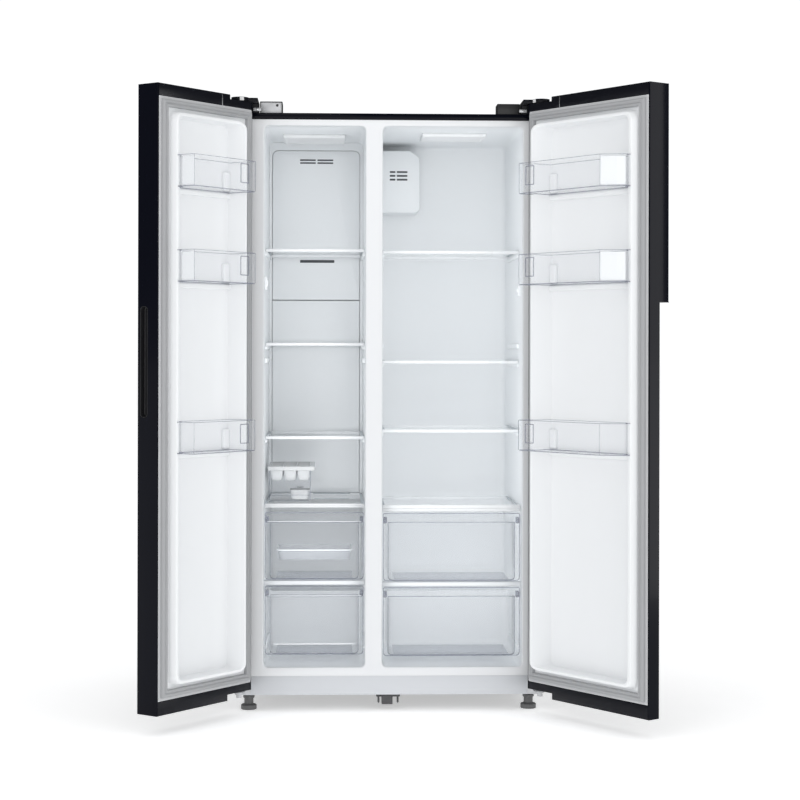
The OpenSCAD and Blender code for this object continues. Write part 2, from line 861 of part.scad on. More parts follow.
cabinet_shell();
front_frame();
freezer_liner();
fridge_liner();
insulation();
back_panel();
toe_panel();
base_pan();
compressor_cover();
compressor();
compressor_mounts();
condenser();
condenser_fan();
fan_motors();
drain_pan();
evaporator();
evaporator_fan();
freezer_duct_covers();
fridge_air_duct();
damper_flap();
ceiling_lamps();
freezer_shelf_glass();
freezer_shelf_trims();
fridge_shelf_glass();
fridge_shelf_trims();
drawer_rails();
freezer_upper_drawer();
freezer_lower_drawer();
fridge_upper_drawer();
fridge_lower_drawer();
ice_bin();
ice_tray();
top_hinges();
hinge_covers();
bottom_hinges();
wiring_boxes();
front_foot_left();
front_foot_right();
rear_roller_left();
rear_roller_right();
roller_brackets();
centre_bracket();
cord_gland();
freezer_door_skin();
freezer_door_foam();
freezer_door_liner();
freezer_door_gasket();
freezer_door_end_caps();
freezer_door_bushes();
freezer_door_grip();
freezer_door_bins();
fridge_door_skin();
fridge_door_foam();
fridge_door_liner();
fridge_door_gasket();
fridge_door_end_caps();
fridge_door_bushes();
fridge_door_grip();
fridge_door_bins();
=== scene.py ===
"""A side by side refrigerator with both doors open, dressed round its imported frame.

Every length is in metres, and the axes are the frame's: X to the right, Y from the front to the back, Z up.
A door is modelled closed, in its own axes, and then swung open by the angle of its hinge joint.
"""

import json
import logging
import math
from collections.abc import Callable, Iterator, Sequence
from contextlib import contextmanager
from dataclasses import dataclass, field
from enum import Enum

import bmesh
import bpy
from mathutils import Matrix, Vector


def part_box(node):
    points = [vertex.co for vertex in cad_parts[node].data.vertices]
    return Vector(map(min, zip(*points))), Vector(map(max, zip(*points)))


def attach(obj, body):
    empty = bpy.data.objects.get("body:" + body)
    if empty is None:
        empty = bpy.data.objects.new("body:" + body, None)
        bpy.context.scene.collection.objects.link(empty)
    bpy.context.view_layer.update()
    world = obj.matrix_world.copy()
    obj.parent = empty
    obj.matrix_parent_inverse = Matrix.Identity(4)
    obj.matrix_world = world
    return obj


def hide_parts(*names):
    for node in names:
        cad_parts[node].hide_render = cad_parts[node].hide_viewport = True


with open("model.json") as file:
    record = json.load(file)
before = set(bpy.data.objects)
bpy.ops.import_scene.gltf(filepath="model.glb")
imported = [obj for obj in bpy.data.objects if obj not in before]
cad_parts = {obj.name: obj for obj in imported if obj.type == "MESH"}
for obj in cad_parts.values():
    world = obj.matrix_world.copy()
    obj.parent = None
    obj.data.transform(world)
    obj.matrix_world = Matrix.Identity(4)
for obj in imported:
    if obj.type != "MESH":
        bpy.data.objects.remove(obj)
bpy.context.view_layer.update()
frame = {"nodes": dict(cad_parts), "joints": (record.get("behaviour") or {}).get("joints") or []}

SHARP = 0.00005
MERGE = 0.000005
SEE_THROUGH = 0.1

log = logging.getLogger("refrigerator")

Point = tuple[float, float]
Place = tuple[float, float, float]
EdgeTest = Callable[[Vector, Vector], bool]


# ---- The bench: small tools that every sub-assembly uses ----


class Plane(Enum):
    """The axes of an outline's two coordinates, and then the axis that it is stacked along."""

    FLAT = (0, 1, 2)
    ACROSS = (0, 2, 1)
    SIDE = (1, 2, 0)

    def at(self, point: Point, level: float) -> Vector:
        """Place a point of an outline at a level.

        Args:
            point: The two coordinates in the plane.
            level: The third coordinate.

        Returns:
            The place in space.
        """
        place = [0.0, 0.0, 0.0]
        for axis, value in zip(self.value, (*point, level)):
            place[axis] = value
        return Vector(place)

    def ring(self, outline: Sequence[Point], level: float) -> list[Vector]:
        """Lift a whole outline to one level."""
        return [self.at(point, level) for point in outline]


@dataclass(frozen=True)
class Box:
    """An upright box given by its lowest and its highest corner."""

    lo: Vector
    hi: Vector

    @property
    def middle(self) -> Vector:
        """The centre of the box."""
        return (self.lo + self.hi) / 2


def node_box(node: str) -> Box:
    """The box of a CAD node at rest."""
    return Box(*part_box(node))


def box_of_points(points: Sequence[Vector]) -> Box:
    """The box round some points."""
    lows = [min(p[axis] for p in points) for axis in range(3)]
    highs = [max(p[axis] for p in points) for axis in range(3)]
    return Box(Vector(lows), Vector(highs))


def solid_boxes(node: str) -> list[Box]:
    """Find the separate solids of a CAD node.

    Args:
        node: The name of the node.

    Returns:
        The box of each solid, the lowest first and then from left to right.
    """
    mesh = frame["nodes"][node].data
    parent: dict[tuple[int, ...], tuple[int, ...]] = {}

    def root(key: tuple[int, ...]) -> tuple[int, ...]:
        """Follow the links from a point to the one that stands for its solid."""
        while parent[key] != key:
            parent[key] = parent[parent[key]]
            key = parent[key]
        return key

    keys = [tuple(round(c / MERGE / 2) for c in vertex.co) for vertex in mesh.vertices]
    for key in keys:
        parent.setdefault(key, key)
    for face in mesh.polygons:
        first = root(keys[face.vertices[0]])
        for index in face.vertices[1:]:
            parent[root(keys[index])] = first
    groups: dict[tuple[int, ...], list[Vector]] = {}
    for key, vertex in zip(keys, mesh.vertices):
        groups.setdefault(root(key), []).append(vertex.co)
    boxes = [box_of_points(points) for points in groups.values()]
    return sorted(boxes, key=lambda box: (round(box.lo.z, 4), box.lo.x))


def deselect_all() -> None:
    """Clear the selection, which operators would otherwise act on."""
    bpy.ops.object.select_all(action="DESELECT")


def work_on(piece: bpy.types.Object) -> None:
    """Make one piece the only selected and the active one."""
    deselect_all()
    piece.select_set(True)
    bpy.context.view_layer.objects.active = piece


@contextmanager
def editing(piece: bpy.types.Object, mode: str = "FACE") -> Iterator[bmesh.types.BMesh]:
    """Open a piece in edit mode with everything selected, and close it again.

    Args:
        piece: The piece to edit.
        mode: What is picked: VERT, EDGE or FACE.

    Yields:
        The mesh being edited.
    """
    work_on(piece)
    bpy.ops.object.mode_set(mode="EDIT")
    bpy.ops.mesh.select_mode(type=mode)
    bpy.ops.mesh.select_all(action="SELECT")
    yield bmesh.from_edit_mesh(piece.data)
    bpy.ops.object.mode_set(mode="OBJECT")


def face_outwards(piece: bpy.types.Object) -> None:
    """Turn every face of a closed piece outwards."""
    with editing(piece):
        bpy.ops.mesh.normals_make_consistent(inside=False)


def named(piece: bpy.types.Object, name: str) -> bpy.types.Object:
    """Give a piece and its mesh the same name."""
    piece.name = name
    piece.data.name = name
    return piece


def filleted(corners: Sequence[Point], radii: float | Sequence[float], steps: int = 4) -> list[Point]:
    """Round the corners of a closed outline.

    Args:
        corners: The corner points in order.
        radii: One radius for every corner, or one for each.
        steps: How many segments each rounded corner has.

    Returns:
        The points of the rounded outline.
    """
    count = len(corners)
    radius = [radii] * count if isinstance(radii, (int, float)) else list(radii)
    outline: list[Point] = []
    for index, corner in enumerate(corners):
        here = Vector(corner)
        back = Vector(corners[index - 1]) - here
        ahead = Vector(corners[(index + 1) % count]) - here
        reach = max(radius[index], SHARP) / math.tan(back.angle(ahead) / 2)
        reach = min(reach, 0.49 * back.length, 0.49 * ahead.length)
        start = here + back.normalized() * reach
        end = here + ahead.normalized() * reach
        for step in range(steps + 1):
            t = step / steps
            outline.append(tuple(start * (1 - t) ** 2 + here * 2 * t * (1 - t) + end * t**2))
    return outline


def rect(
    a0: float, a1: float, b0: float, b1: float, radii: float | Sequence[float] = 0.0, steps: int = 4
) -> list[Point]:
    """A rectangle with rounded corners.

    Args:
        a0: Its lower limit along the first axis.
        a1: Its upper limit along the first axis.
        b0: Its lower limit along the second axis.
        b1: Its upper limit along the second axis.
        radii: One radius for every corner, or one for each.
        steps: How many segments each rounded corner has.

    Returns:
        The points of the outline.
    """
    return filleted([(a0, b0), (a1, b0), (a1, b1), (a0, b1)], radii, steps)


def circle(a: float, b: float, radius: float, steps: int = 32, lobes: int = 0, depth: float = 0.0) -> list[Point]:
    """A circle, whose edge may have lobes like a knurl.

    Args:
        a: The centre along the first axis.
        b: The centre along the second axis.
        radius: The mean radius.
        steps: How many points it has.
        lobes: How many lobes go round it.
        depth: How far the lobes reach in and out.

    Returns:
        The points of the outline.
    """
    points = []
    for step in range(steps):
        angle = 2 * math.pi * step / steps
        reach = radius + depth * math.cos(lobes * angle)
        points.append((a + reach * math.cos(angle), b + reach * math.sin(angle)))
    return points


def between(one: Sequence[Point], other: Sequence[Point], share: float) -> list[Point]:
    """An outline part of the way from one outline to another with as many points."""
    return [tuple(Vector(a).lerp(Vector(b), share)) for a, b in zip(one, other)]


def loft(name: str, rings: Sequence[Sequence[Vector]], closed: bool = False) -> bpy.types.Object:
    """Make a skin through rings by extruding a circle from each ring to the next.

    Args:
        name: The name of the piece.
        rings: Rings of points, each with as many points.
        closed: Whether the last ring meets the first, as round a frame. Otherwise both ends are capped.

    Returns:
        The new piece.
    """
    deselect_all()
    fill = "NOTHING" if closed else "NGON"
    bpy.ops.mesh.primitive_circle_add(vertices=len(rings[0]), fill_type=fill)
    piece = named(bpy.context.active_object, name)
    with editing(piece, "EDGE") as mesh:
        for index, ring in enumerate([*rings, rings[0]] if closed else rings):
            if index:
                bpy.ops.mesh.extrude_edges_move(TRANSFORM_OT_translate={"value": (0, 0, 0)})
            mesh = bmesh.from_edit_mesh(piece.data)
            for vertex, place in zip([v for v in mesh.verts if v.select], ring):
                vertex.co = place
            bmesh.update_edit_mesh(piece.data)
        if not closed:
            bpy.ops.mesh.edge_face_add()
        bpy.ops.mesh.select_all(action="SELECT")
        bpy.ops.mesh.remove_doubles(threshold=MERGE)
        bpy.ops.mesh.normals_make_consistent(inside=False)
    return piece


def prism(name: str, plane: Plane, outline: Sequence[Point], low: float, high: float) -> bpy.types.Object:
    """Extrude an outline from one level to another.

    Args:
        name: The name of the piece.
        plane: The plane of the outline.
        outline: The points of the outline.
        low: The level of one end.
        high: The level of the other end.

    Returns:
        The new piece.
    """
    return loft(name, [plane.ring(outline, low), plane.ring(outline, high)])


def turned(name: str, plane: Plane, centre: Point, profile: Sequence[Point], steps: int = 32) -> bpy.types.Object:
    """Turn a profile about an axis.

    Args:
        name: The name of the piece.
        plane: The plane that the axis stands on.
        centre: Where the axis meets the plane.
        profile: Pairs of a radius and a level.
        steps: How many segments go round it.

    Returns:
        The new piece.
    """
    return loft(name, [plane.ring(circle(*centre, radius, steps), level) for radius, level in profile])


def block(name: str, box: Box, edge: float = 0.0, segments: int = 3) -> bpy.types.Object:
    """Add a block at its size and place, with rounded edges.

    Args:
        name: The name of the piece.
        box: Where it is.
        edge: The radius of all its edges.
        segments: How many segments each rounded edge has.

    Returns:
        The new piece.
    """
    deselect_all()
    bpy.ops.mesh.primitive_cube_add(size=1, location=box.middle, scale=box.hi - box.lo)
    piece = named(bpy.context.active_object, name)
    bpy.ops.object.transform_apply(location=True, rotation=True, scale=True)
    if edge:
        round_edges(piece, edge, segments)
    return piece


def slab(name: str, lo: Place, hi: Place, edge: float = 0.0, segments: int = 3) -> bpy.types.Object:
    """Add a block from its lowest and its highest corner, with rounded edges as in block()."""
    return block(name, Box(Vector(lo), Vector(hi)), edge, segments)


def round_edges(piece: bpy.types.Object, width: float, segments: int = 3, test: EdgeTest | None = None) -> None:
    """Bevel edges of a piece.

    Args:
        piece: The piece.
        width: How wide the bevel is.
        segments: How many segments it has.
        test: What picks an edge by its middle and its direction. Without it all are bevelled.
    """
    with editing(piece, "EDGE") as mesh:
        if test is not None:
            bpy.ops.mesh.select_all(action="DESELECT")
            for edge in mesh.edges:
                a, b = (vertex.co for vertex in edge.verts)
                edge.select_set(test((a + b) / 2, (b - a).normalized()))
            bmesh.update_edit_mesh(piece.data)
        bpy.ops.mesh.bevel(offset=width, segments=segments, affect="EDGES")


def apply_modifier(piece: bpy.types.Object, kind: str, **settings: object) -> None:
    """Add a modifier with its settings and apply it at once."""
    work_on(piece)
    modifier = piece.modifiers.new(kind.lower(), kind)
    for key, value in settings.items():
        setattr(modifier, key, value)
    bpy.ops.object.modifier_apply(modifier=modifier.name)


def soften(piece: bpy.types.Object, width: float, segments: int = 2, steep: float = 35.0) -> None:
    """Round the edges of a finished shape that are steeper than some degrees."""
    apply_modifier(
        piece, "BEVEL", width=width, segments=segments, limit_method="ANGLE", angle_limit=math.radians(steep)
    )


def combine(piece: bpy.types.Object, operation: str, others: Sequence[bpy.types.Object]) -> bpy.types.Object:
    """Cut the others out of a piece, or unite them with it, and use them up."""
    for other in others:
        apply_modifier(piece, "BOOLEAN", operation=operation, object=other, solver="EXACT")
        bpy.data.objects.remove(other, do_unlink=True)
    return piece


def cut(piece: bpy.types.Object, *others: bpy.types.Object) -> bpy.types.Object:
    """Cut other shapes out of a piece."""
    return combine(piece, "DIFFERENCE", others)


def united(piece: bpy.types.Object, *others: bpy.types.Object) -> bpy.types.Object:
    """Unite a piece with other shapes into one skin."""
    return combine(piece, "UNION", others)


def joined(name: str, parts: Sequence[bpy.types.Object]) -> bpy.types.Object:
    """Join separate shapes into one piece."""
    deselect_all()
    for part in parts:
        part.select_set(True)
    bpy.context.view_layer.objects.active = parts[0]
    bpy.ops.object.join()
    return named(bpy.context.active_object, name)


def copied(piece: bpy.types.Object, name: str, step: Place) -> bpy.types.Object:
    """Copy a piece, with a mesh of its own, and move the copy by a step."""
    twin = bpy.data.objects.new(name, piece.data.copy())
    bpy.context.scene.collection.objects.link(twin)
    twin.data.transform(Matrix.Translation(step))
    return named(twin, name)


def refined_copy(name: str, node: str, width: float, segments: int = 2) -> bpy.types.Object:
    """Copy a CAD node, merge its triangles into clean faces and round its edges.

    Args:
        name: The name of the piece.
        node: The CAD node to copy.
        width: How wide the rounding is.
        segments: How many segments it has.

    Returns:
        The new piece.
    """
    piece = bpy.data.objects.new(name, frame["nodes"][node].data.copy())
    bpy.context.scene.collection.objects.link(piece)
    piece.data.materials.clear()
    work_on(piece)
    bpy.ops.mesh.customdata_custom_splitnormals_clear()
    with editing(piece):
        bpy.ops.mesh.remove_doubles(threshold=MERGE * 2)
        bpy.ops.mesh.dissolve_limited(angle_limit=math.radians(0.5))
    soften(piece, width, segments)
    return named(piece, name)


# ---- Finishes ----


@dataclass(frozen=True)
class Finish:
    """A surface finish: its colour, its gloss and the fine grain that breaks both up."""

    name: str
    slot: str
    colour: tuple[float, float, float]
    roughness: float
    grain: float = 0.004
    relief: float = 0.00002
    stretch: Place = (1.0, 1.0, 1.0)
    mottle: float = 0.04
    unevenness: float = 0.06
    metallic: float = 0.0
    coat: float = 0.0
    transmission: float = 0.0
    ior: float = 1.5
    alpha: float = 1.0
    glow: float = 0.0

    def material(self) -> bpy.types.Material:
        """Build the node material once, and return the same one afterwards."""
        key = f"finish_{self.name}"
        made = bpy.data.materials.get(key)
        if made is not None:
            return made
        made = bpy.data.materials.new(key)
        made.use_nodes = True
        tree = made.node_tree
        shader = tree.nodes["Principled BSDF"]
        self._set_constants(shader)
        grain = self._noise(tree, 1.0 / self.grain, 3.0)
        cloud = self._noise(tree, 7.0, 2.0)
        self._link_colour(tree, shader, cloud)
        self._link_gloss(tree, shader, grain, cloud)
        return made

    def _set_constants(self, shader: bpy.types.Node) -> None:
        """Set what is the same all over on the shader's own sockets."""
        shader.inputs["Metallic"].default_value = self.metallic
        shader.inputs["IOR"].default_value = self.ior
        shader.inputs["Alpha"].default_value = self.alpha
        shader.inputs["Coat Weight"].default_value = self.coat
        shader.inputs["Coat Roughness"].default_value = 0.04
        shader.inputs["Transmission Weight"].default_value = self.transmission
        if self.glow:
            shader.inputs["Emission Color"].default_value = (*self.colour, 1.0)
            shader.inputs["Emission Strength"].default_value = self.glow

    def _noise(self, tree: bpy.types.NodeTree, scale: float, detail: float) -> bpy.types.Node:
        """Add a noise on object coordinates, stretched along the finish's own direction."""
        where = tree.nodes.new("ShaderNodeTexCoord")
        mapping = tree.nodes.new("ShaderNodeMapping")
        mapping.inputs["Scale"].default_value = self.stretch
        noise = tree.nodes.new("ShaderNodeTexNoise")
        noise.inputs["Scale"].default_value = scale
        noise.inputs["Detail"].default_value = detail
        tree.links.new(where.outputs["Object"], mapping.inputs["Vector"])
        tree.links.new(mapping.outputs["Vector"], noise.inputs["Vector"])
        return noise

    def _link_colour(self, tree: bpy.types.NodeTree, shader: bpy.types.Node, cloud: bpy.types.Node) -> None:
        """Vary the colour a little over the surface."""
        mix = tree.nodes.new("ShaderNodeMix")
        mix.data_type = "RGBA"
        mix.inputs["A"].default_value = (*[c * (1 - self.mottle) for c in self.colour], 1.0)
        mix.inputs["B"].default_value = (*[min(1.0, c * (1 + self.mottle)) for c in self.colour], 1.0)
        tree.links.new(cloud.outputs["Fac"], mix.inputs["Factor"])
        tree.links.new(mix.outputs["Result"], shader.inputs["Base Color"])

    def _link_gloss(
        self, tree: bpy.types.NodeTree, shader: bpy.types.Node, grain: bpy.types.Node, cloud: bpy.types.Node
    ) -> None:
        """Vary the gloss in patches, and raise the grain as a bump."""
        spread = tree.nodes.new("ShaderNodeMapRange")
        spread.inputs["To Min"].default_value = max(0.0, self.roughness * (1 - self.unevenness * 4))
        spread.inputs["To Max"].default_value = min(1.0, self.roughness * (1 + self.unevenness * 4))
        tree.links.new(cloud.outputs["Fac"], spread.inputs["Value"])
        tree.links.new(spread.outputs["Result"], shader.inputs["Roughness"])
        if self.relief:
            bump = tree.nodes.new("ShaderNodeBump")
            bump.inputs["Distance"].default_value = self.relief
            tree.links.new(grain.outputs["Fac"], bump.inputs["Height"])
            tree.links.new(bump.outputs["Normal"], shader.inputs["Normal"])


GLOSS_PAINT = Finish("gloss_black_paint", "shell_paint", (0.0034, 0.0039, 0.0075), 0.14, 0.0016, 0.000004,
                     coat=0.04, ior=1.15)
BLACK_CAP = Finish("black_end_cap", "black_plastic", (0.005, 0.0055, 0.009), 0.3, 0.0009, 0.00001, ior=1.26)
BLACK_PART = Finish("black_moulding", "black_plastic", (0.012, 0.012, 0.014), 0.38, 0.0012, 0.00002)
LINER_WHITE = Finish("liner_white", "liner_plastic", (0.865, 0.888, 0.905), 0.34, 0.0022, 0.000006, mottle=0.004,
                     unevenness=0.01)
DOOR_WHITE = Finish("door_liner_white", "liner_plastic", (0.87, 0.882, 0.894), 0.36, 0.0022, 0.000006, mottle=0.004,
                    unevenness=0.01)
FRAME_WHITE = Finish("frame_white", "panel_plastic", (0.83, 0.84, 0.855), 0.34, 0.0022, 0.000006, mottle=0.004,
                     unevenness=0.01)
TRIM_WHITE = Finish("trim_white", "trim_plastic", (0.84, 0.86, 0.88), 0.26, 0.0018, 0.00001, mottle=0.01)
SHELF_WHITE = Finish("shelf_trim_white", "trim_plastic", (0.75, 0.765, 0.78), 0.28, 0.0018, 0.00001, mottle=0.01)
# Painted shade: a darker copy of the trim white for the drawer cover's trim, which sits low and set back.
TRIM_SHADED = Finish("trim_white_painted_shade", "trim_plastic", (0.68, 0.695, 0.71), 0.3, 0.0018, 0.00001, mottle=0.01)
RAIL_WHITE = Finish("rail_white", "liner_plastic", (0.67, 0.69, 0.71), 0.34, 0.0022, 0.000006, mottle=0.004)
TRAY_MILK = Finish("tray_milky", "clear_plastic", (0.66, 0.69, 0.73), 0.25, 0.0018, 0.00001, alpha=0.3)
BRACKET_GREY = Finish("bracket_grey", "black_metal", (0.085, 0.085, 0.088), 0.45, 0.0015, 0.00004, metallic=0.2)
SUPPORT_GREY = Finish("support_grey", "trim_plastic", (0.42, 0.46, 0.49), 0.3, 0.0018, 0.00001)
# Painted shade: the dark sheet behind vent slots stands in for the shade inside the ducts.
VENT_SHADE = Finish("vent_painted_shade", "trim_plastic", (0.07, 0.075, 0.085), 0.5, 0.001, 0.00002)
TOE_GREY = Finish("toe_panel_grey", "toe_plastic", (0.672, 0.689, 0.717), 0.36, 0.0016, 0.000015, mottle=0.01)
CLEAR = Finish("clear_plastic", "clear_plastic", (0.68, 0.72, 0.79), 0.08, 0.03, 0.0, mottle=0.02, unevenness=0.02,
               alpha=0.035)
# Painted shade: a darker, denser copy of the clear plastic for thick edges, standing in for the darkening that
# refraction gives them.
CLEAR_EDGE_SHADE = Finish("clear_plastic_edge_shade", "clear_plastic", (0.25, 0.27, 0.34), 0.2, 0.01, 0.0, alpha=0.5)
CLEAR_THICK = Finish("clear_plastic_thick", "clear_plastic", (0.5, 0.535, 0.61), 0.2, 0.01, 0.0, alpha=0.26)
GLASS = Finish("shelf_glass", "clear_glass", (0.76, 0.83, 0.86), 0.03, 0.05, 0.0, mottle=0.01, unevenness=0.02,
               alpha=0.06)
LAMP = Finish("lamp_diffuser", "lamp_diffuser", (0.8, 0.81, 0.82), 0.35, 0.0012, 0.00004, glow=0.08)
TRAY_WHITE = Finish("tray_white", "tray_plastic", (0.58, 0.595, 0.605), 0.3, 0.0015, 0.00001)
GASKET_GREY = Finish("gasket_grey", "seal", (0.38, 0.385, 0.395), 0.55, 0.0007, 0.00003)
# Painted highlight: a paler copy of the seal's grey, for the outer stripe that catches the light.
GASKET_LIT = Finish("gasket_painted_highlight", "seal", (0.52, 0.525, 0.535), 0.5, 0.0007, 0.00003)
HINGE_STEEL = Finish("hinge_steel", "hinge_steel", (0.62, 0.63, 0.64), 0.28, 0.0008, 0.00002, (1, 1, 6), metallic=1.0)
PLATED = Finish("bright_plated", "hinge_steel", (0.6, 0.605, 0.62), 0.34, 0.0009, 0.00002, mottle=0.05, metallic=0.35)
ZINC = Finish("zinc_sheet", "galvanised", (0.6, 0.61, 0.62), 0.38, 0.009, 0.00002, mottle=0.14, metallic=0.9)
DARK_STEEL = Finish("dark_steel", "black_metal", (0.03, 0.03, 0.032), 0.42, 0.0015, 0.00004, metallic=0.3)
PAN_STEEL = Finish("pan_steel", "pan_steel", (0.17, 0.175, 0.18), 0.4, 0.006, 0.00002, metallic=0.7)
FOOT_GREY = Finish("foot_grey", "foot_plastic", (0.13, 0.13, 0.132), 0.42, 0.0009, 0.00003)
FOAM = Finish("foam", "foam", (0.7, 0.62, 0.42), 0.9, 0.002, 0.0003)
FIN = Finish("aluminium", "coil_aluminium", (0.7, 0.71, 0.72), 0.3, 0.002, 0.00002, metallic=1.0)
RUBBER = Finish("mount_rubber", "mount_rubber", (0.02, 0.02, 0.02), 0.75, 0.001, 0.00005)
BUSH = Finish("bush_nylon", "bush_plastic", (0.72, 0.7, 0.62), 0.4, 0.001, 0.00002)
LABEL = Finish("blank_label", "trim_plastic", (0.8, 0.8, 0.8), 0.5, 0.001, 0.00001)


def dress(
    piece: bpy.types.Object, finish: Finish, body: str, replaces: Sequence[str] = (), smooth: float = 32.0
) -> bpy.types.Object:
    """Finish a piece: its material, its shading and what it rides on. Clear walls let all light past.

    Args:
        piece: The piece.
        finish: Its surface finish.
        body: The CAD body that it moves with.
        replaces: The CAD nodes that it stands for.
        smooth: Faces that meet at less than this angle are shaded as one.

    Returns:
        The same piece.
    """
    piece.data.materials.clear()
    piece.data.materials.append(finish.material())
    work_on(piece)
    bpy.ops.object.shade_smooth_by_angle(angle=math.radians(smooth))
    if finish.alpha < SEE_THROUGH:
        piece.visible_shadow = False
        piece.visible_diffuse = False
    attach(piece, body)
    if replaces:
        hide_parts(*replaces)
    log.info("%s: %d faces on %s", piece.name, len(piece.data.polygons), body)
    return piece


def dress_node(node: str, finish: Finish) -> None:
    """Give a CAD node that stays a finish of its own."""
    owner = frame["nodes"][node]
    if not owner.material_slots:
        owner.data.materials.append(finish.material())
    for slot in owner.material_slots:
        slot.material = finish.material()
    log.info("%s keeps its CAD shape in %s", node, finish.name)


# ---- Small hardware ----


@dataclass
class Screw:
    """A pan head screw with a cross recess."""

    radius: float = 0.0045
    height: float = 0.0024
    slot: float = 0.0011

    def build(self, name: str, plane: Plane, place: Vector, outward: float) -> bpy.types.Object:
        """Make one screw head.

        Args:
            name: The name of the piece.
            plane: The plane that the head lies on.
            place: The middle of its seat.
            outward: +1 or -1, the side of the plane that it stands on.

        Returns:
            The screw head.
        """
        across = (place[plane.value[0]], place[plane.value[1]])
        seat = place[plane.value[2]]
        share = [(1.0, -0.2), (1.0, 0.35), (0.86, 0.75), (0.55, 1.0)]
        profile = [(self.radius * r, seat + outward * self.height * h) for r, h in share]
        head = turned(name, plane, across, profile, 20)
        low, high = sorted((seat + outward * self.height * 0.35, seat + outward * self.height * 1.5))
        for reach, wide in ((self.radius * 0.6, self.slot / 2), (self.slot / 2, self.radius * 0.6)):
            outline = rect(across[0] - reach, across[0] + reach, across[1] - wide, across[1] + wide, 0.0, 1)
            cut(head, prism("recess", plane, outline, low, high))
        return head

    def row(self, name: str, plane: Plane, places: Sequence[Vector], outward: float) -> bpy.types.Object:
        """Make one screw, copy it to the other places and join them all.

        Args:
            name: The name of the piece.
            plane: The plane that the heads lie on.
            places: The middle of each seat.
            outward: +1 or -1, the side of the plane that they stand on.

        Returns:
            The joined screws.
        """
        first = self.build(name, plane, places[0], outward)
        others = [copied(first, f"{name}_{i}", tuple(p - places[0])) for i, p in enumerate(places[1:])]
        return joined(name, [first, *others])


# ---- Cabinet ----


@dataclass
class Cabinet:
    """The painted shell, the white front frame, the toe panel and the back."""

    body: str = "cabinet"
    opening_corner: float = 0.016
    opening_roll: float = 0.0035
    rib_w: float = 0.012
    rib_h: float = 0.0016
    screw: Screw = field(default_factory=Screw)

    def build(self) -> None:
        """Build every outer part of the cabinet."""
        shell = refined_copy("shell_painted", "cabinet_shell", 0.0009)
        dress(shell, GLOSS_PAINT, self.body, ["cabinet_shell"])
        self._front_frame()
        toe = refined_copy("toe_panel_moulded", "toe_panel", 0.0012)
        dress(toe, TOE_GREY, self.body, ["toe_panel"])
        self._back()
        dress_node("insulation", FOAM)
        pan = refined_copy("base_pan_pressed", "base_pan", 0.0008)
        dress(pan, PAN_STEEL, self.body, ["base_pan"])

    def _front_frame(self) -> None:
        """The flange round both openings, rolled into each of them."""
        box = node_box("front_frame")
        frame_piece = block("front_flange", box, 0.0008, 2)
        for node in ("freezer_liner", "fridge_liner"):
            hole = Opening.of(node).outline(self.opening_corner)
            cutter = prism("opening", Plane.ACROSS, hole, box.lo.y - 0.01, box.hi.y + 0.01)
            cut(frame_piece, cutter)
        front = box.lo.y + SHARP

        def on_rim(middle: Vector, _: Vector) -> bool:
            """Whether an edge is on the front rim of an opening."""
            inside = box.lo.x + 0.01 < middle.x < box.hi.x - 0.01 and box.lo.z + 0.01 < middle.z < box.hi.z - 0.01
            return inside and middle.y < front

        round_edges(frame_piece, self.opening_roll, 4, on_rim)
        dress(frame_piece, FRAME_WHITE, self.body, ["front_frame"])

    def _back(self) -> None:
        """The zinc back panel with pressed ribs and screws, and the vented cover under it."""
        box = node_box("back_panel")
        panel = block("panel", box, 0.0005, 2)
        ribs = []
        for index in range(5):
            z = box.lo.z + (box.hi.z - box.lo.z) * (index + 0.5) / 5
            lo = (box.lo.x + 0.09, box.hi.y - 0.001, z - self.rib_w / 2)
            hi = (box.hi.x - 0.09, box.hi.y + self.rib_h, z + self.rib_w / 2)
            ribs.append(slab("rib", lo, hi, 0.0007, 2))
        dress(joined("back_panel_pressed", [panel, *ribs]), ZINC, self.body, ["back_panel"])
        self.screw_line("back_panel_screws", box, box.hi.y, 7)
        cover = refined_copy("compressor_cover_vented", "compressor_cover", 0.0004)
        dress(cover, DARK_STEEL, self.body, ["compressor_cover"])
        low = node_box("compressor_cover")
        self.screw_line("compressor_cover_screws", low, low.hi.y, 3)

    def screw_line(self, name: str, box: Box, back: float, count: int) -> None:
        """Screws down both sides of a panel on the back.

        Args:
            name: The name of the piece.
            box: The box of the panel.
            back: Where the heads sit along Y.
            count: How many screws each side has.
        """
        places = []
        for side in (box.lo.x + 0.012, box.hi.x - 0.012):
            for index in range(count):
                z = box.lo.z + 0.015 + (box.hi.z - box.lo.z - 0.03) * index / (count - 1)
                places.append(Vector((side, back, z)))
        dress(self.screw.row(name, Plane.ACROSS, places, 1.0), HINGE_STEEL, self.body)


@dataclass(frozen=True)
class Opening:
    """The clear space inside a moulded liner."""

    box: Box

    @classmethod
    def of(cls, node: str, wall: float = 0.0025) -> "Opening":
        """Read the clear space from a liner's CAD box."""
        box = node_box(node)
        lo = box.lo + Vector((wall, 0, wall))
        return cls(Box(lo, box.hi - Vector((wall, wall, wall))))

    def outline(self, corner: float) -> list[Point]:
        """The front outline of the opening, with rounded corners."""
        box = self.box
        return rect(box.lo.x, box.hi.x, box.lo.z, box.hi.z, corner, 6)


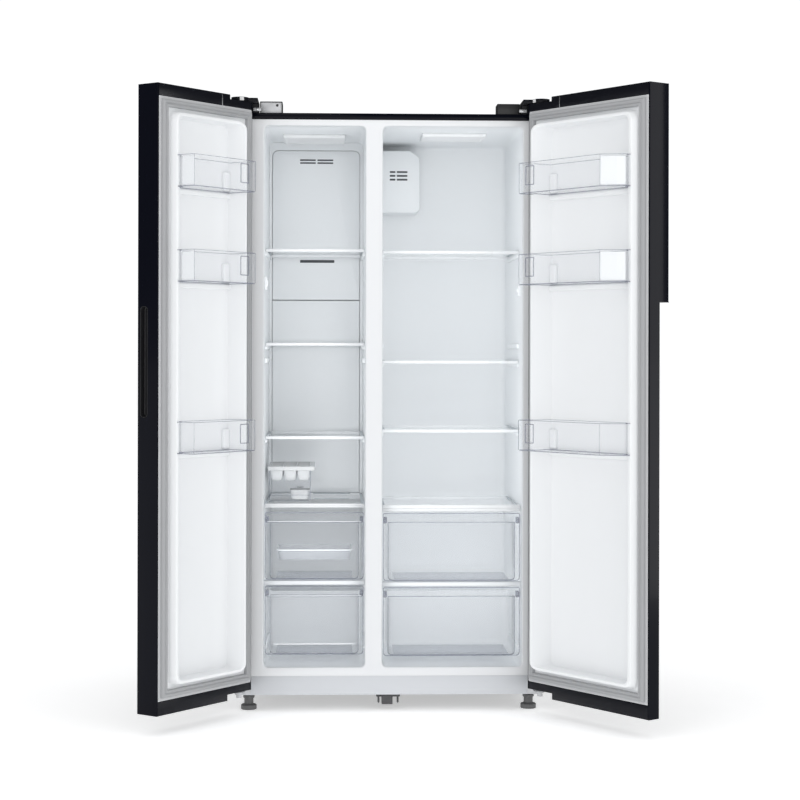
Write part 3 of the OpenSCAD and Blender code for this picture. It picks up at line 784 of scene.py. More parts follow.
@dataclass
class Compartment:
    """One moulded compartment with its ledges, glass shelves, trims and lamp."""

    side: str
    lamp_index: int
    body: str = "cabinet"
    wall: float = 0.0025
    corner: float = 0.016
    step_y: float = 0.4
    step_z: float = 0.3
    ledge_w: float = 0.006
    ledge_h: float = 0.0135
    spare_ledges: tuple[float, ...] = ()
    clip_z: Point = (1.228, 1.267)
    clip_on_right: bool = False

    def build(self) -> None:
        """Build the liner and everything fixed in it."""
        self._liner()
        self._ledges()
        self._shelves()
        self._lamp()
        self._clip()

    def _clip(self) -> None:
        """A small white clip on a side wall, near the front."""
        box = Opening.of(f"{self.side}_liner", self.wall).box
        wall = box.hi.x if self.clip_on_right else box.lo.x
        inward = -1 if self.clip_on_right else 1
        low, high = self.clip_z
        x0, x1 = sorted((wall - inward * 0.001, wall + inward * 0.006))
        base = slab("base", (x0, 0.084, low), (x1, 0.108, high), 0.0025, 3)
        x0, x1 = sorted((wall, wall + inward * 0.0095))
        peg = slab("peg", (x0, 0.089, low + 0.011), (x1, 0.103, high - 0.009), 0.0025, 3)
        dress(joined(f"{self.side}_wall_clip", [base, peg]), TRIM_WHITE, self.body)

    def _liner(self) -> None:
        """Mould the liner: a rounded block with a step is opened at the front and given its wall."""
        box = Opening.of(f"{self.side}_liner", self.wall).box
        front = box.lo.y
        far = Box(Vector((box.lo.x, front - 0.05, box.lo.z)), box.hi)
        shape = block(f"{self.side}_liner_moulded", far)
        low = Box(
            Vector((box.lo.x - 0.1, self.step_y, box.lo.z - 0.1)),
            Vector((box.hi.x + 0.1, box.hi.y + 0.1, self.step_z)),
        )
        cut(shape, block("step", low))
        brow = Vector((0, self.step_y, self.step_z))
        round_edges(
            shape, self.corner, 5,
            lambda middle, _: middle.y > front - 0.049 and (Vector((0, middle.y, middle.z)) - brow).length > 0.001,
        )
        with editing(shape):
            bpy.ops.mesh.bisect(
                plane_co=(0, front, 0), plane_no=(0, 1, 0), use_fill=False, clear_inner=True, clear_outer=False
            )
        apply_modifier(shape, "SOLIDIFY", thickness=self.wall, offset=1.0, use_even_offset=True)
        dress(shape, LINER_WHITE, self.body, [f"{self.side}_liner"], 40.0)

    def _ledges(self) -> None:
        """The ledges on both side walls that carry the shelves and the drawers."""
        box = Opening.of(f"{self.side}_liner", self.wall).box
        parts = []
        tops = [glass.lo.z for glass in solid_boxes(f"{self.side}_shelf_glass")] + list(self.spare_ledges)
        for top in tops:
            for x0, x1 in ((box.lo.x - 0.001, box.lo.x + self.ledge_w), (box.hi.x - self.ledge_w, box.hi.x + 0.001)):
                parts.append(slab("ledge", (x0, 0.112, top - self.ledge_h), (x1, 0.428, top - 0.0002), 0.002, 3))
        for x0, x1 in ((box.lo.x - 0.001, box.lo.x + self.ledge_w), (box.hi.x - self.ledge_w, box.hi.x + 0.001)):
            z = node_box(f"{self.side}_lower_drawer").lo.z + 0.013
            parts.append(slab("ledge", (x0, 0.072, z), (x1, 0.37, z + 0.005), 0.002, 3))
        dress(joined(f"{self.side}_ledges", parts), LINER_WHITE, self.body)

    def _shelves(self) -> None:
        """Glass shelves with a front trim, a rear stop and grey end supports."""
        panes = solid_boxes(f"{self.side}_shelf_glass")
        trims = solid_boxes(f"{self.side}_shelf_trims")
        ends = []
        for index, (pane, trim) in enumerate(zip(panes, trims)):
            first = index == 0
            glass = block(f"{self.side}_glass_{index + 1}", pane, 0.0008, 2)
            dress(glass, GLASS, self.body, [f"{self.side}_shelf_glass"] if first else [])
            bar = self._trim(f"{self.side}_trim_{index + 1}", trim, first)
            # The lowest trim, over the drawers, is in the darker copy of the trim white: painted shade.
            dress(bar, TRIM_SHADED if first else SHELF_WHITE, self.body, [f"{self.side}_shelf_trims"] if first else [])
            lo = (pane.lo.x + 0.002, pane.hi.y - 0.006, pane.lo.z - 0.003)
            hi = (pane.hi.x - 0.002, pane.hi.y + 0.002, pane.hi.z + 0.0012)
            stop = slab(f"{self.side}_rear_stop_{index + 1}", lo, hi, 0.0015, 3)
            dress(stop, TRIM_WHITE, self.body)
            for x0, x1 in ((pane.lo.x + 0.0002, pane.lo.x + 0.0085), (pane.hi.x - 0.0085, pane.hi.x - 0.0002)):
                lo = (x0, trim.hi.y - 0.001, pane.hi.z - 0.0002)
                ends.append(slab("end", lo, (x1, pane.hi.y - 0.002, pane.hi.z + 0.002), 0.0008, 2))
        dress(joined(f"{self.side}_shelf_supports", ends), SUPPORT_GREY, self.body)

    def _trim(self, name: str, box: Box, double: bool) -> bpy.types.Object:
        """A shelf's front trim. The drawer cover's trim has a lower, set-back second band."""
        if not double:
            return block(name, box, 0.0022, 3)
        middle = box.lo.z + (box.hi.z - box.lo.z) * 0.45
        upper = slab("upper", (box.lo.x, box.lo.y, middle), tuple(box.hi), 0.0025, 3)
        lower = slab("lower", (box.lo.x, box.lo.y + 0.003, box.lo.z), (box.hi.x, box.hi.y, middle + 0.002), 0.0015, 3)
        return joined(name, [upper, lower])

    def _lamp(self) -> None:
        """The ceiling lamp: a diffuser whose middle is sunk a little inside a raised rim."""
        box = solid_boxes("ceiling_lamps")[self.lamp_index]
        rim = 0.006
        diffuser = block("diffuser", Box(box.lo, box.hi), 0.003, 3)
        with editing(diffuser) as mesh:
            bpy.ops.mesh.select_all(action="DESELECT")
            lowest = min(mesh.faces, key=lambda face: face.calc_center_median().z)
            lowest.select_set(True)
            bmesh.update_edit_mesh(diffuser.data)
            bpy.ops.mesh.inset(thickness=rim, depth=0)
            bpy.ops.mesh.inset(thickness=0.001, depth=-0.0012)
        dress(
            named(diffuser, f"{self.side}_lamp"), LAMP, self.body, ["ceiling_lamps"] if self.lamp_index == 0 else []
        )


# ---- Drawers and rails ----


@dataclass
class Drawer:
    """A clear drawer: a wide front with a grip lip, on a narrower open box."""

    name: str
    seam_drop: float | None = None
    wall: float = 0.0026
    front_t: float = 0.005
    side: float = 0.014
    lip_h: float = 0.026
    corner: float = 0.012
    catch: float = 0.018
    floor_reach: float = 0.185

    def build(self) -> None:
        """Build the drawer on its own body."""
        box = node_box(self.name)
        front = self._front(box)
        tub = self._tub(box)
        shell = united(front, tub)
        shell.name = f"{self.name}_clear"
        dress(shell, CLEAR, self.name, [self.name])
        self._edges(box)

    def _front(self, box: Box) -> bpy.types.Object:
        """The front plate with rounded lower corners."""
        outline = rect(box.lo.x, box.hi.x, box.lo.z, box.hi.z, [self.corner, self.corner, 0.004, 0.004], 5)
        inner = rect(
            box.lo.x + 0.001, box.hi.x - 0.001, box.lo.z + 0.001, box.hi.z - 0.001,
            [self.corner - 0.001, self.corner - 0.001, 0.003, 0.003], 5,
        )
        y = box.lo.y
        levels = [(inner, y), (outline, y + 0.001), (outline, y + self.front_t - 0.001), (inner, y + self.front_t)]
        return loft("front", [Plane.ACROSS.ring(shape, level) for shape, level in levels])

    def _tub(self, box: Box) -> bpy.types.Object:
        """The open box behind the front, with its rim and drafted walls."""
        x0, x1 = box.lo.x + self.side, box.hi.x - self.side
        y0, y1 = box.lo.y + self.front_t - 0.0004, box.hi.y
        top = box.hi.z - self.lip_h
        wall = self.wall

        def shape(inset: float, radius: float) -> list[Point]:
            """The tub's outline, smaller by an inset."""
            return rect(x0 + inset, x1 - inset, y0 + inset, y1 - inset, radius, 5)

        rings = [
            (shape(0.004, 0.008), box.lo.z),
            (shape(0.0, 0.012), box.lo.z + 0.004),
            (shape(0.0, 0.012), top - 0.001),
            (shape(0.0008, 0.0112), top),
            (shape(wall - 0.0004, 0.0094), top),
            (shape(wall, 0.009), top - 0.001),
            (shape(wall, 0.009), box.lo.z + wall + 0.004),
            (shape(wall + 0.004, 0.006), box.lo.z + wall),
        ]
        return loft("tub", [Plane.FLAT.ring(outline, level) for outline, level in rings])

    def _edges(self, box: Box) -> None:
        """The thick edges, in a darker clear plastic that paints the shade which refraction gives them, and the thick
        floor.
        """
        y = box.lo.y

        def hoop(outline: tuple[float, float, float, float], radii: Sequence[float], width: float,
                 depths: Point) -> bpy.types.Object:
            """A band round a rectangle on the drawer's front."""
            a0, a1, b0, b1 = outline
            outer = rect(a0, a1, b0, b1, radii, 5)
            inner = rect(a0 + width, a1 - width, b0 + width, b1 - width, [max(r - width, 0.001) for r in radii], 5)
            levels = [(outer, depths[0]), (outer, depths[1]), (inner, depths[1]), (inner, depths[0])]
            return loft("hoop", [Plane.ACROSS.ring(shape, level) for shape, level in levels], closed=True)

        corner = self.corner
        rim = (box.lo.x - 0.0002, box.hi.x + 0.0002, box.lo.z - 0.0002, box.hi.z + 0.0002)
        tub = (box.lo.x + self.side, box.hi.x - self.side, box.lo.z + 0.002, box.hi.z - self.lip_h)
        parts = [
            hoop(rim, [corner, corner, 0.004, 0.004], 0.0019, (y - 0.0004, y + self.front_t + 0.0004)),
            hoop(tub, [corner, corner, 0.001, 0.001], 0.0017, (y + self.front_t - 0.001, y + self.front_t + 0.003)),
        ]
        for x0, x1 in ((box.lo.x + 0.0012, box.lo.x + 0.011), (box.hi.x - 0.011, box.hi.x - 0.0012)):
            z = box.hi.z - 0.03
            lo = (x0, y + self.front_t, z)
            parts.append(slab("catch", lo, (x1, lo[1] + self.catch, z + self.catch), 0.002, 3))
        if self.seam_drop is not None:
            z = box.hi.z - self.seam_drop
            lo = (box.lo.x + 0.004, y - 0.0008, z - 0.0008)
            parts.append(slab("seam", lo, (box.hi.x - 0.004, y + 0.0008, z + 0.0008), 0.0004, 2))
        dress(joined(f"{self.name}_edges", parts), CLEAR_EDGE_SHADE, self.name)
        inset = self.side + 0.018
        lo = (box.lo.x + inset, y + self.front_t + 0.016, box.lo.z + self.wall + 0.0004)
        hi = (box.hi.x - inset, y + self.floor_reach, box.lo.z + self.wall + 0.0024)
        dress(slab(f"{self.name}_floor", lo, hi, 0.0008, 2), CLEAR_THICK, self.name)
        if self.seam_drop is not None:
            z = box.hi.z - self.seam_drop + 0.0016
            lo = (box.lo.x + 0.006, y - 0.0006, z)
            hi = (box.hi.x - 0.006, y + 0.001, z + 0.0016)
            dress(slab(f"{self.name}_grip_line", lo, hi, 0.0004, 2), TRIM_WHITE, self.name)


@dataclass
class DrawerBay:
    """The rails between the drawers and the four drawers themselves."""

    body: str = "cabinet"

    def build(self) -> None:
        """Build the rails and the drawers."""
        rails = [block("rail", box, 0.002, 3) for box in solid_boxes("drawer_rails")]
        dress(joined("drawer_rails_moulded", rails), RAIL_WHITE, self.body, ["drawer_rails"])
        for name, seam in (
            ("freezer_upper_drawer", 0.029),
            ("freezer_lower_drawer", 0.031),
            ("fridge_upper_drawer", None),
            ("fridge_lower_drawer", None),
        ):
            Drawer(name, seam).build()
        self._inner_tray()

    def _inner_tray(self) -> None:
        """A shallow tray with a white rim that rests in the upper freezer drawer."""
        box = node_box("freezer_upper_drawer")
        x0, x1 = box.lo.x + 0.031, box.hi.x - 0.031
        y0, y1 = box.lo.y + 0.09, box.lo.y + 0.27
        top = box.lo.z + 0.078
        floor = top - 0.03
        rings = [
            (rect(x0 + 0.008, x1 - 0.008, y0 + 0.008, y1 - 0.008, 0.01, 5), floor),
            (rect(x0 + 0.004, x1 - 0.004, y0 + 0.004, y1 - 0.004, 0.012, 5), top - 0.004),
            (rect(x0, x1, y0, y1, 0.014, 5), top - 0.003),
            (rect(x0, x1, y0, y1, 0.014, 5), top),
            (rect(x0 + 0.007, x1 - 0.007, y0 + 0.007, y1 - 0.007, 0.01, 5), top),
            (rect(x0 + 0.0105, x1 - 0.0105, y0 + 0.0105, y1 - 0.0105, 0.008, 5), floor + 0.0025),
        ]
        tray = loft("freezer_inner_tray", [Plane.FLAT.ring(outline, level) for outline, level in rings])
        dress(tray, TRAY_MILK, "freezer_upper_drawer")
        outer = rect(x0 - 0.0003, x1 + 0.0003, y0 - 0.0003, y1 + 0.0003, 0.014, 5)
        inner = rect(x0 + 0.0035, x1 - 0.0035, y0 + 0.0035, y1 - 0.0035, 0.011, 5)
        levels = [(outer, top - 0.002), (outer, top + 0.0006), (inner, top + 0.0006), (inner, top - 0.002)]
        rim = loft("freezer_inner_tray_rim", [Plane.FLAT.ring(shape, z) for shape, z in levels], closed=True)
        dress(rim, TRIM_WHITE, "freezer_upper_drawer")
        low = node_box("freezer_lower_drawer")
        line = slab("freezer_lower_drawer_step", (low.lo.x + 0.026, low.lo.y + 0.0075, low.lo.z + 0.0285),
                    (low.hi.x - 0.026, low.lo.y + 0.0095, low.lo.z + 0.0312), 0.0006, 2)
        dress(line, TRIM_WHITE, "freezer_lower_drawer")


# ---- Ice making ----


@dataclass
class IceMaker:
    """An ice tray with tapered cups on a clear bin that holds a scoop."""

    body: str = "ice_bin"
    columns: int = 3
    rows: int = 6
    plate_t: float = 0.012
    pitch: Point = (0.04, 0.042)
    taper: float = 0.0026

    def build(self) -> None:
        """Build the bin, the tray and the scoop."""
        self._bin()
        self._tray()
        self._scoop()

    def _bin(self) -> None:
        """The clear bin with a rolled rim."""
        box = node_box("ice_bin")
        wall = 0.0025

        def shape(inset: float) -> list[Point]:
            """The bin's outline, smaller by an inset."""
            radius = max(0.003, 0.012 - inset)
            return rect(box.lo.x + inset, box.hi.x - inset, box.lo.y + inset, box.hi.y - inset, radius, 5)

        base, top = box.lo.z, box.hi.z
        rings = [
            (shape(0.006), base), (shape(0.004), base + 0.003),
            (shape(0.0015), top - 0.006), (shape(0.0), top - 0.005),
            (shape(0.0), top - 0.0005), (shape(0.003), top - 0.0005), (shape(0.0015 + wall), top - 0.006),
            (shape(0.004 + wall), base + 0.005), (shape(0.008 + wall), base + wall),
        ]
        piece = loft("ice_bin_clear", [Plane.FLAT.ring(outline, level) for outline, level in rings])
        dress(piece, CLEAR, self.body, ["ice_bin"])
        # The posts and lines are in the darker edge plastic, a painted shade of the bin's thick edges.
        posts = []
        for x in (box.lo.x + 0.0035, box.hi.x - 0.0035):
            lo = (x - 0.0008, box.lo.y + 0.0008, base + 0.004)
            posts.append(slab("post", lo, (x + 0.0008, box.lo.y + 0.0024, top), 0.0003, 1))
        for level in (base + 0.0012, base + 0.018):
            lo = (box.lo.x + 0.006, box.lo.y + 0.0024, level)
            posts.append(slab("line", lo, (box.hi.x - 0.006, box.lo.y + 0.0036, level + 0.0012), 0.0003, 1))
        dress(joined("ice_bin_edges", posts), CLEAR_EDGE_SHADE, self.body)

    def _tray(self) -> None:
        """The tray: one cup is shaped, copied over the grid and set in a rimmed plate."""
        box = node_box("ice_tray")
        top, base = box.hi.z, box.lo.z + 0.001
        pitch_x, pitch_y = self.pitch
        x, y = box.lo.x + 0.006, box.lo.y + 0.005

        def cup_shape(inset: float, radius: float) -> list[Point]:
            """The outline of the first cup, smaller by an inset."""
            return rect(x + inset, x + pitch_x - inset, y + inset, y + pitch_y - inset, radius, 4)

        plate = block("plate", Box(Vector((box.lo.x, box.lo.y, top - self.plate_t)), box.hi), 0.0018, 3)
        hole = loft("hole", [Plane.FLAT.ring(cup_shape(0.0018, 0.006), z) for z in (top - 0.02, top + 0.01)])
        wall = 0.0012
        cup = loft("cup", [
            Plane.FLAT.ring(outline, level) for outline, level in (
                (cup_shape(self.taper + 0.009, 0.005), base),
                (cup_shape(self.taper + 0.0045, 0.007), base + 0.0012),
                (cup_shape(self.taper + 0.0015, 0.009), base + 0.0045),
                (cup_shape(self.taper, 0.009), base + 0.010),
                (cup_shape(0.0008, 0.006), top - self.plate_t + 0.001),
                (cup_shape(0.0008, 0.006), top - 0.001),
                (cup_shape(0.0008 + wall, 0.005), top - 0.001),
                (cup_shape(self.taper + wall, 0.008), base + 0.011),
                (cup_shape(self.taper + 0.008 + wall, 0.005), base + wall + 0.001),
            )
        ])
        cups, holes = [cup], [hole]
        for column in range(self.columns):
            for row in range(self.rows):
                if column or row:
                    step = (column * pitch_x, row * pitch_y, 0.0)
                    cups.append(copied(cup, "cup", step))
                    holes.append(copied(hole, "hole", step))
        cut(plate, joined("holes", holes))
        dress(joined("ice_tray_moulded", [plate, *cups]), TRAY_WHITE, self.body, ["ice_tray"])

    def _scoop(self) -> None:
        """A scoop with a rounded bowl and a flat handle, lying in the bin."""
        box = node_box("ice_bin")
        base = box.lo.z + 0.004
        x0, x1 = box.lo.x + 0.062, box.lo.x + 0.122
        y0, y1 = box.lo.y + 0.03, box.lo.y + 0.12
        rings = [
            (rect(x0 + 0.006, x1 - 0.006, y0 + 0.006, y1 - 0.006, 0.014, 5), base),
            (rect(x0, x1, y0, y1, 0.018, 5), base + 0.028),
            (rect(x0 + 0.002, x1 - 0.002, y0 + 0.002, y1 - 0.002, 0.016, 5), base + 0.028),
            (rect(x0 + 0.009, x1 - 0.009, y0 + 0.009, y1 - 0.009, 0.012, 5), base + 0.003),
        ]
        bowl = loft("bowl", [Plane.FLAT.ring(outline, level) for outline, level in rings])
        middle = (x0 + x1) / 2
        handle = slab(
            "handle", (middle - 0.011, y1 - 0.003, base + 0.022), (middle + 0.011, y1 + 0.085, base + 0.027), 0.002, 3
        )
        dress(joined("ice_scoop", [bowl, handle]), TRAY_WHITE, self.body)


# ---- Air ducts ----


@dataclass
class AirDucts:
    """The duct covers on the back walls, with their outlets."""

    body: str = "cabinet"
    cover_corner: float = 0.022
    vent_h: float = 0.005

    def build(self) -> None:
        """Build the freezer's covers and the fresh food duct."""
        self._freezer_covers()
        self._fridge_duct()

    def _freezer_covers(self) -> None:
        """Two plates on the freezer's back wall, with slots that have a dark sheet behind them, a painted shade of the
        duct inside.
        """
        _, lower, upper = solid_boxes("freezer_duct_covers")
        plates = []
        for box, radii in ((lower, [0.002] * 4), (upper, [0.002, 0.002, self.cover_corner, self.cover_corner])):
            plates.append(self._plate(box, radii))
        slots = [(x, x + 0.05, z, z + self.vent_h) for x in (-0.271, -0.216) for z in (1.638, 1.647)]
        slots.append((-0.27, -0.162, 1.326, 1.335))
        for x0, x1, z0, z1 in slots:
            outline = rect(x0, x1, z0, z1, 0.002, 3)
            cut(plates[1], prism("slot", Plane.ACROSS, outline, upper.lo.y - 0.01, upper.hi.y + 0.01))
        for index, plate in enumerate(plates):
            named(plate, f"freezer_duct_cover_{index + 1}")
            dress(plate, LINER_WHITE, self.body, ["freezer_duct_covers"] if index == 0 else [])
        # Dark sheets behind the slots paint the shade inside the duct.
        shade_sheet = [
            slab("shade_sheet", (-0.276, upper.lo.y + 0.005, 1.634), (-0.161, upper.hi.y + 0.002, 1.656), 0.001, 2),
            slab("shade_sheet", (-0.275, upper.lo.y + 0.005, 1.322), (-0.157, upper.hi.y + 0.002, 1.339), 0.001, 2),
        ]
        dress(joined("freezer_vent_shade", shade_sheet), VENT_SHADE, self.body)
        self._surround(lower, upper)
        rails = [
            slab("rail", (-0.227, 0.424, 0.6004), (-0.111, 0.432, 0.604), 0.0012, 3),
            slab("rail", (-0.222, 0.226, 0.6004), (-0.115, 0.232, 0.6022), 0.0007, 2),
        ]
        dress(joined("freezer_cover_rails", rails), SUPPORT_GREY, self.body)

    def _surround(self, lower: Box, upper: Box) -> None:
        """The wall round the covers, a hair away from them, so that their outline shows as a fine line."""
        space = Opening.of("freezer_liner").box
        gap = 0.0011
        corner = self.cover_corner
        hole = rect(lower.lo.x - gap, upper.hi.x + gap, lower.lo.z - gap, upper.hi.z + gap,
                    [0.002, 0.002, corner + gap, corner + gap], 6)
        rim = rect(space.lo.x + 0.0004, space.hi.x - 0.0004, lower.lo.z - 0.02, space.hi.z - 0.0004,
                   [0.002, 0.002, 0.015, 0.015], 6)
        front, back = lower.lo.y + 0.0012, lower.hi.y - 0.001
        levels = [(hole, front), (rim, front), (rim, back), (hole, back)]
        rings = [Plane.ACROSS.ring(shape, level) for shape, level in levels]
        ring = loft("freezer_duct_surround", rings, closed=True)
        dress(ring, LINER_WHITE, self.body)

    def _plate(self, box: Box, radii: Sequence[float]) -> bpy.types.Object:
        """A flat cover whose front edge is rounded."""
        edge = 0.003
        outer = rect(box.lo.x, box.hi.x, box.lo.z, box.hi.z, radii, 6)
        front = rect(
            box.lo.x + edge, box.hi.x - edge, box.lo.z + edge, box.hi.z - edge,
            [max(r - edge, 0.001) for r in radii], 6,
        )
        middle = between(outer, front, 0.3)
        levels = [(outer, box.hi.y), (outer, box.lo.y + edge), (middle, box.lo.y + edge * 0.3), (front, box.lo.y)]
        return loft("plate", [Plane.ACROSS.ring(shape, level) for shape, level in levels])

    def _fridge_duct(self) -> None:
        """The box on the fresh food back wall, with a chamfered corner and three rows of outlets."""
        box = node_box("fridge_air_duct")
        lo, hi = box.lo, box.hi
        corners = [(lo.x, lo.z), (hi.x, lo.z), (hi.x, hi.z - 0.022), (hi.x - 0.03, hi.z), (lo.x, hi.z)]
        radii = [0.002, 0.02, 0.012, 0.012, 0.002]
        outer = filleted(corners, radii, 6)
        centre = (box.middle.x, box.middle.z)
        front = [(p[0] + (centre[0] - p[0]) * 0.055, p[1] + (centre[1] - p[1]) * 0.035) for p in outer]
        inner = [(p[0] + (centre[0] - p[0]) * 0.05, p[1] + (centre[1] - p[1]) * 0.035) for p in outer]
        levels = [
            (inner, lo.y + 0.003), (inner, hi.y), (outer, hi.y), (outer, lo.y + 0.004),
            (between(outer, front, 0.35), lo.y + 0.001), (front, lo.y),
        ]
        duct = loft("fridge_air_duct_moulded", [Plane.ACROSS.ring(shape, level) for shape, level in levels])
        for z in (1.586, 1.598, 1.610):
            for x0, x1 in ((0.012, 0.03), (0.034, 0.068)):
                outline = rect(x0, x1, z, z + 0.006, 0.0025, 3)
                cut(duct, prism("slot", Plane.ACROSS, outline, lo.y - 0.01, lo.y + 0.004))
        dress(duct, LINER_WHITE, self.body, ["fridge_air_duct"])
        # A dark sheet behind the outlets paints the shade inside the duct.
        shade_sheet = slab("fridge_vent_shade", (0.008, lo.y + 0.0022, 1.581), (0.072, lo.y + 0.005, 1.621), 0.0005, 2)
        dress(shade_sheet, VENT_SHADE, self.body)


# ---- Doors ----


@dataclass(frozen=True)
class Swing:
    """Where a door hangs: local X runs from its hinge side, local Y from its inner face to the cabinet."""

    joint: str
    mirrored: bool
    gasket_gap: float = 0.012

    def matrix(self) -> Matrix:
        """From the closed door's own axes to the open door in the frame."""
        joint = next(j for j in frame["joints"] if j["name"] == self.joint)
        x, y, _ = joint["pos_m"]
        half = node_box("cabinet_shell").hi.x
        inward = half - abs(x)
        outward = -y - self.gasket_gap
        opened = Matrix.Rotation(math.radians(joint["range_deg"][0]), 4, "Z")
        place = Matrix.Translation((-abs(x), y, 0)) @ opened @ Matrix.Translation((-inward, outward, 0))
        return Matrix.Scale(-1, 4, (1, 0, 0)) @ place if self.mirrored else place

    def local_box(self, node: str) -> Box:
        """The box of a door's CAD node in the door's own axes."""
        back = self.matrix().inverted()
        return box_of_points([back @ vertex.co for vertex in frame["nodes"][node].data.vertices])

    def settle(self, piece: bpy.types.Object) -> bpy.types.Object:
        """Swing a finished piece to its place and apply the move to its mesh."""
        piece.matrix_world = self.matrix()
        work_on(piece)
        bpy.ops.object.transform_apply(location=True, rotation=True, scale=True)
        face_outwards(piece)
        return piece


@dataclass(frozen=True)
class DoorShape:
    """The sizes that differ between the two doors, in the door's own axes."""

    hinge_foot: float
    hinge_knee: float
    hinge_crest: Point
    hinge_inner: float
    free_foot: float
    free_knee: float
    free_crest: Point
    free_inner: float
    bin_outer: tuple[Point, ...]
    bin_inner: tuple[Point, ...]
    bin_radii: tuple[float, ...]


FREEZER_SHAPE = DoorShape(
    hinge_foot=0.0795,
    hinge_knee=0.082,
    hinge_crest=(0.084, 0.090),
    hinge_inner=0.0965,
    free_foot=0.3575,
    free_knee=0.3551,
    free_crest=(0.341, 0.351),
    free_inner=0.3375,
    bin_outer=((0.098, 0.002), (0.098, 0.056), (0.090, 0.058), (0.092, 0.090), (0.350, 0.090), (0.352, 0.045),
               (0.352, 0.031), (0.336, 0.031), (0.334, 0.002)),
    bin_inner=((0.1005, 0.0045), (0.1005, 0.059), (0.0926, 0.060), (0.0945, 0.0875), (0.3476, 0.0875),
               (0.3495, 0.045), (0.3495, 0.0335), (0.3335, 0.0335), (0.3315, 0.0045)),
    bin_radii=(0.006, 0.002, 0.002, 0.008, 0.008, 0.004, 0.002, 0.002, 0.006),
)

FRIDGE_SHAPE = DoorShape(
    hinge_foot=0.0587,
    hinge_knee=0.0615,
    hinge_crest=(0.066, 0.073),
    hinge_inner=0.0895,
    free_foot=0.4575,
    free_knee=0.4547,
    free_crest=(0.438, 0.450),
    free_inner=0.4325,
    bin_outer=((0.092, 0.002), (0.092, 0.056), (0.065, 0.058), (0.067, 0.097), (0.400, 0.097), (0.450, 0.047),
               (0.450, 0.031), (0.433, 0.031), (0.430, 0.002)),
    bin_inner=((0.0945, 0.0045), (0.0945, 0.059), (0.0676, 0.060), (0.0694, 0.0945), (0.399, 0.0945),
               (0.4475, 0.046), (0.4475, 0.0335), (0.4305, 0.0335), (0.4275, 0.0045)),
    bin_radii=(0.006, 0.002, 0.002, 0.008, 0.012, 0.008, 0.002, 0.002, 0.006),
)


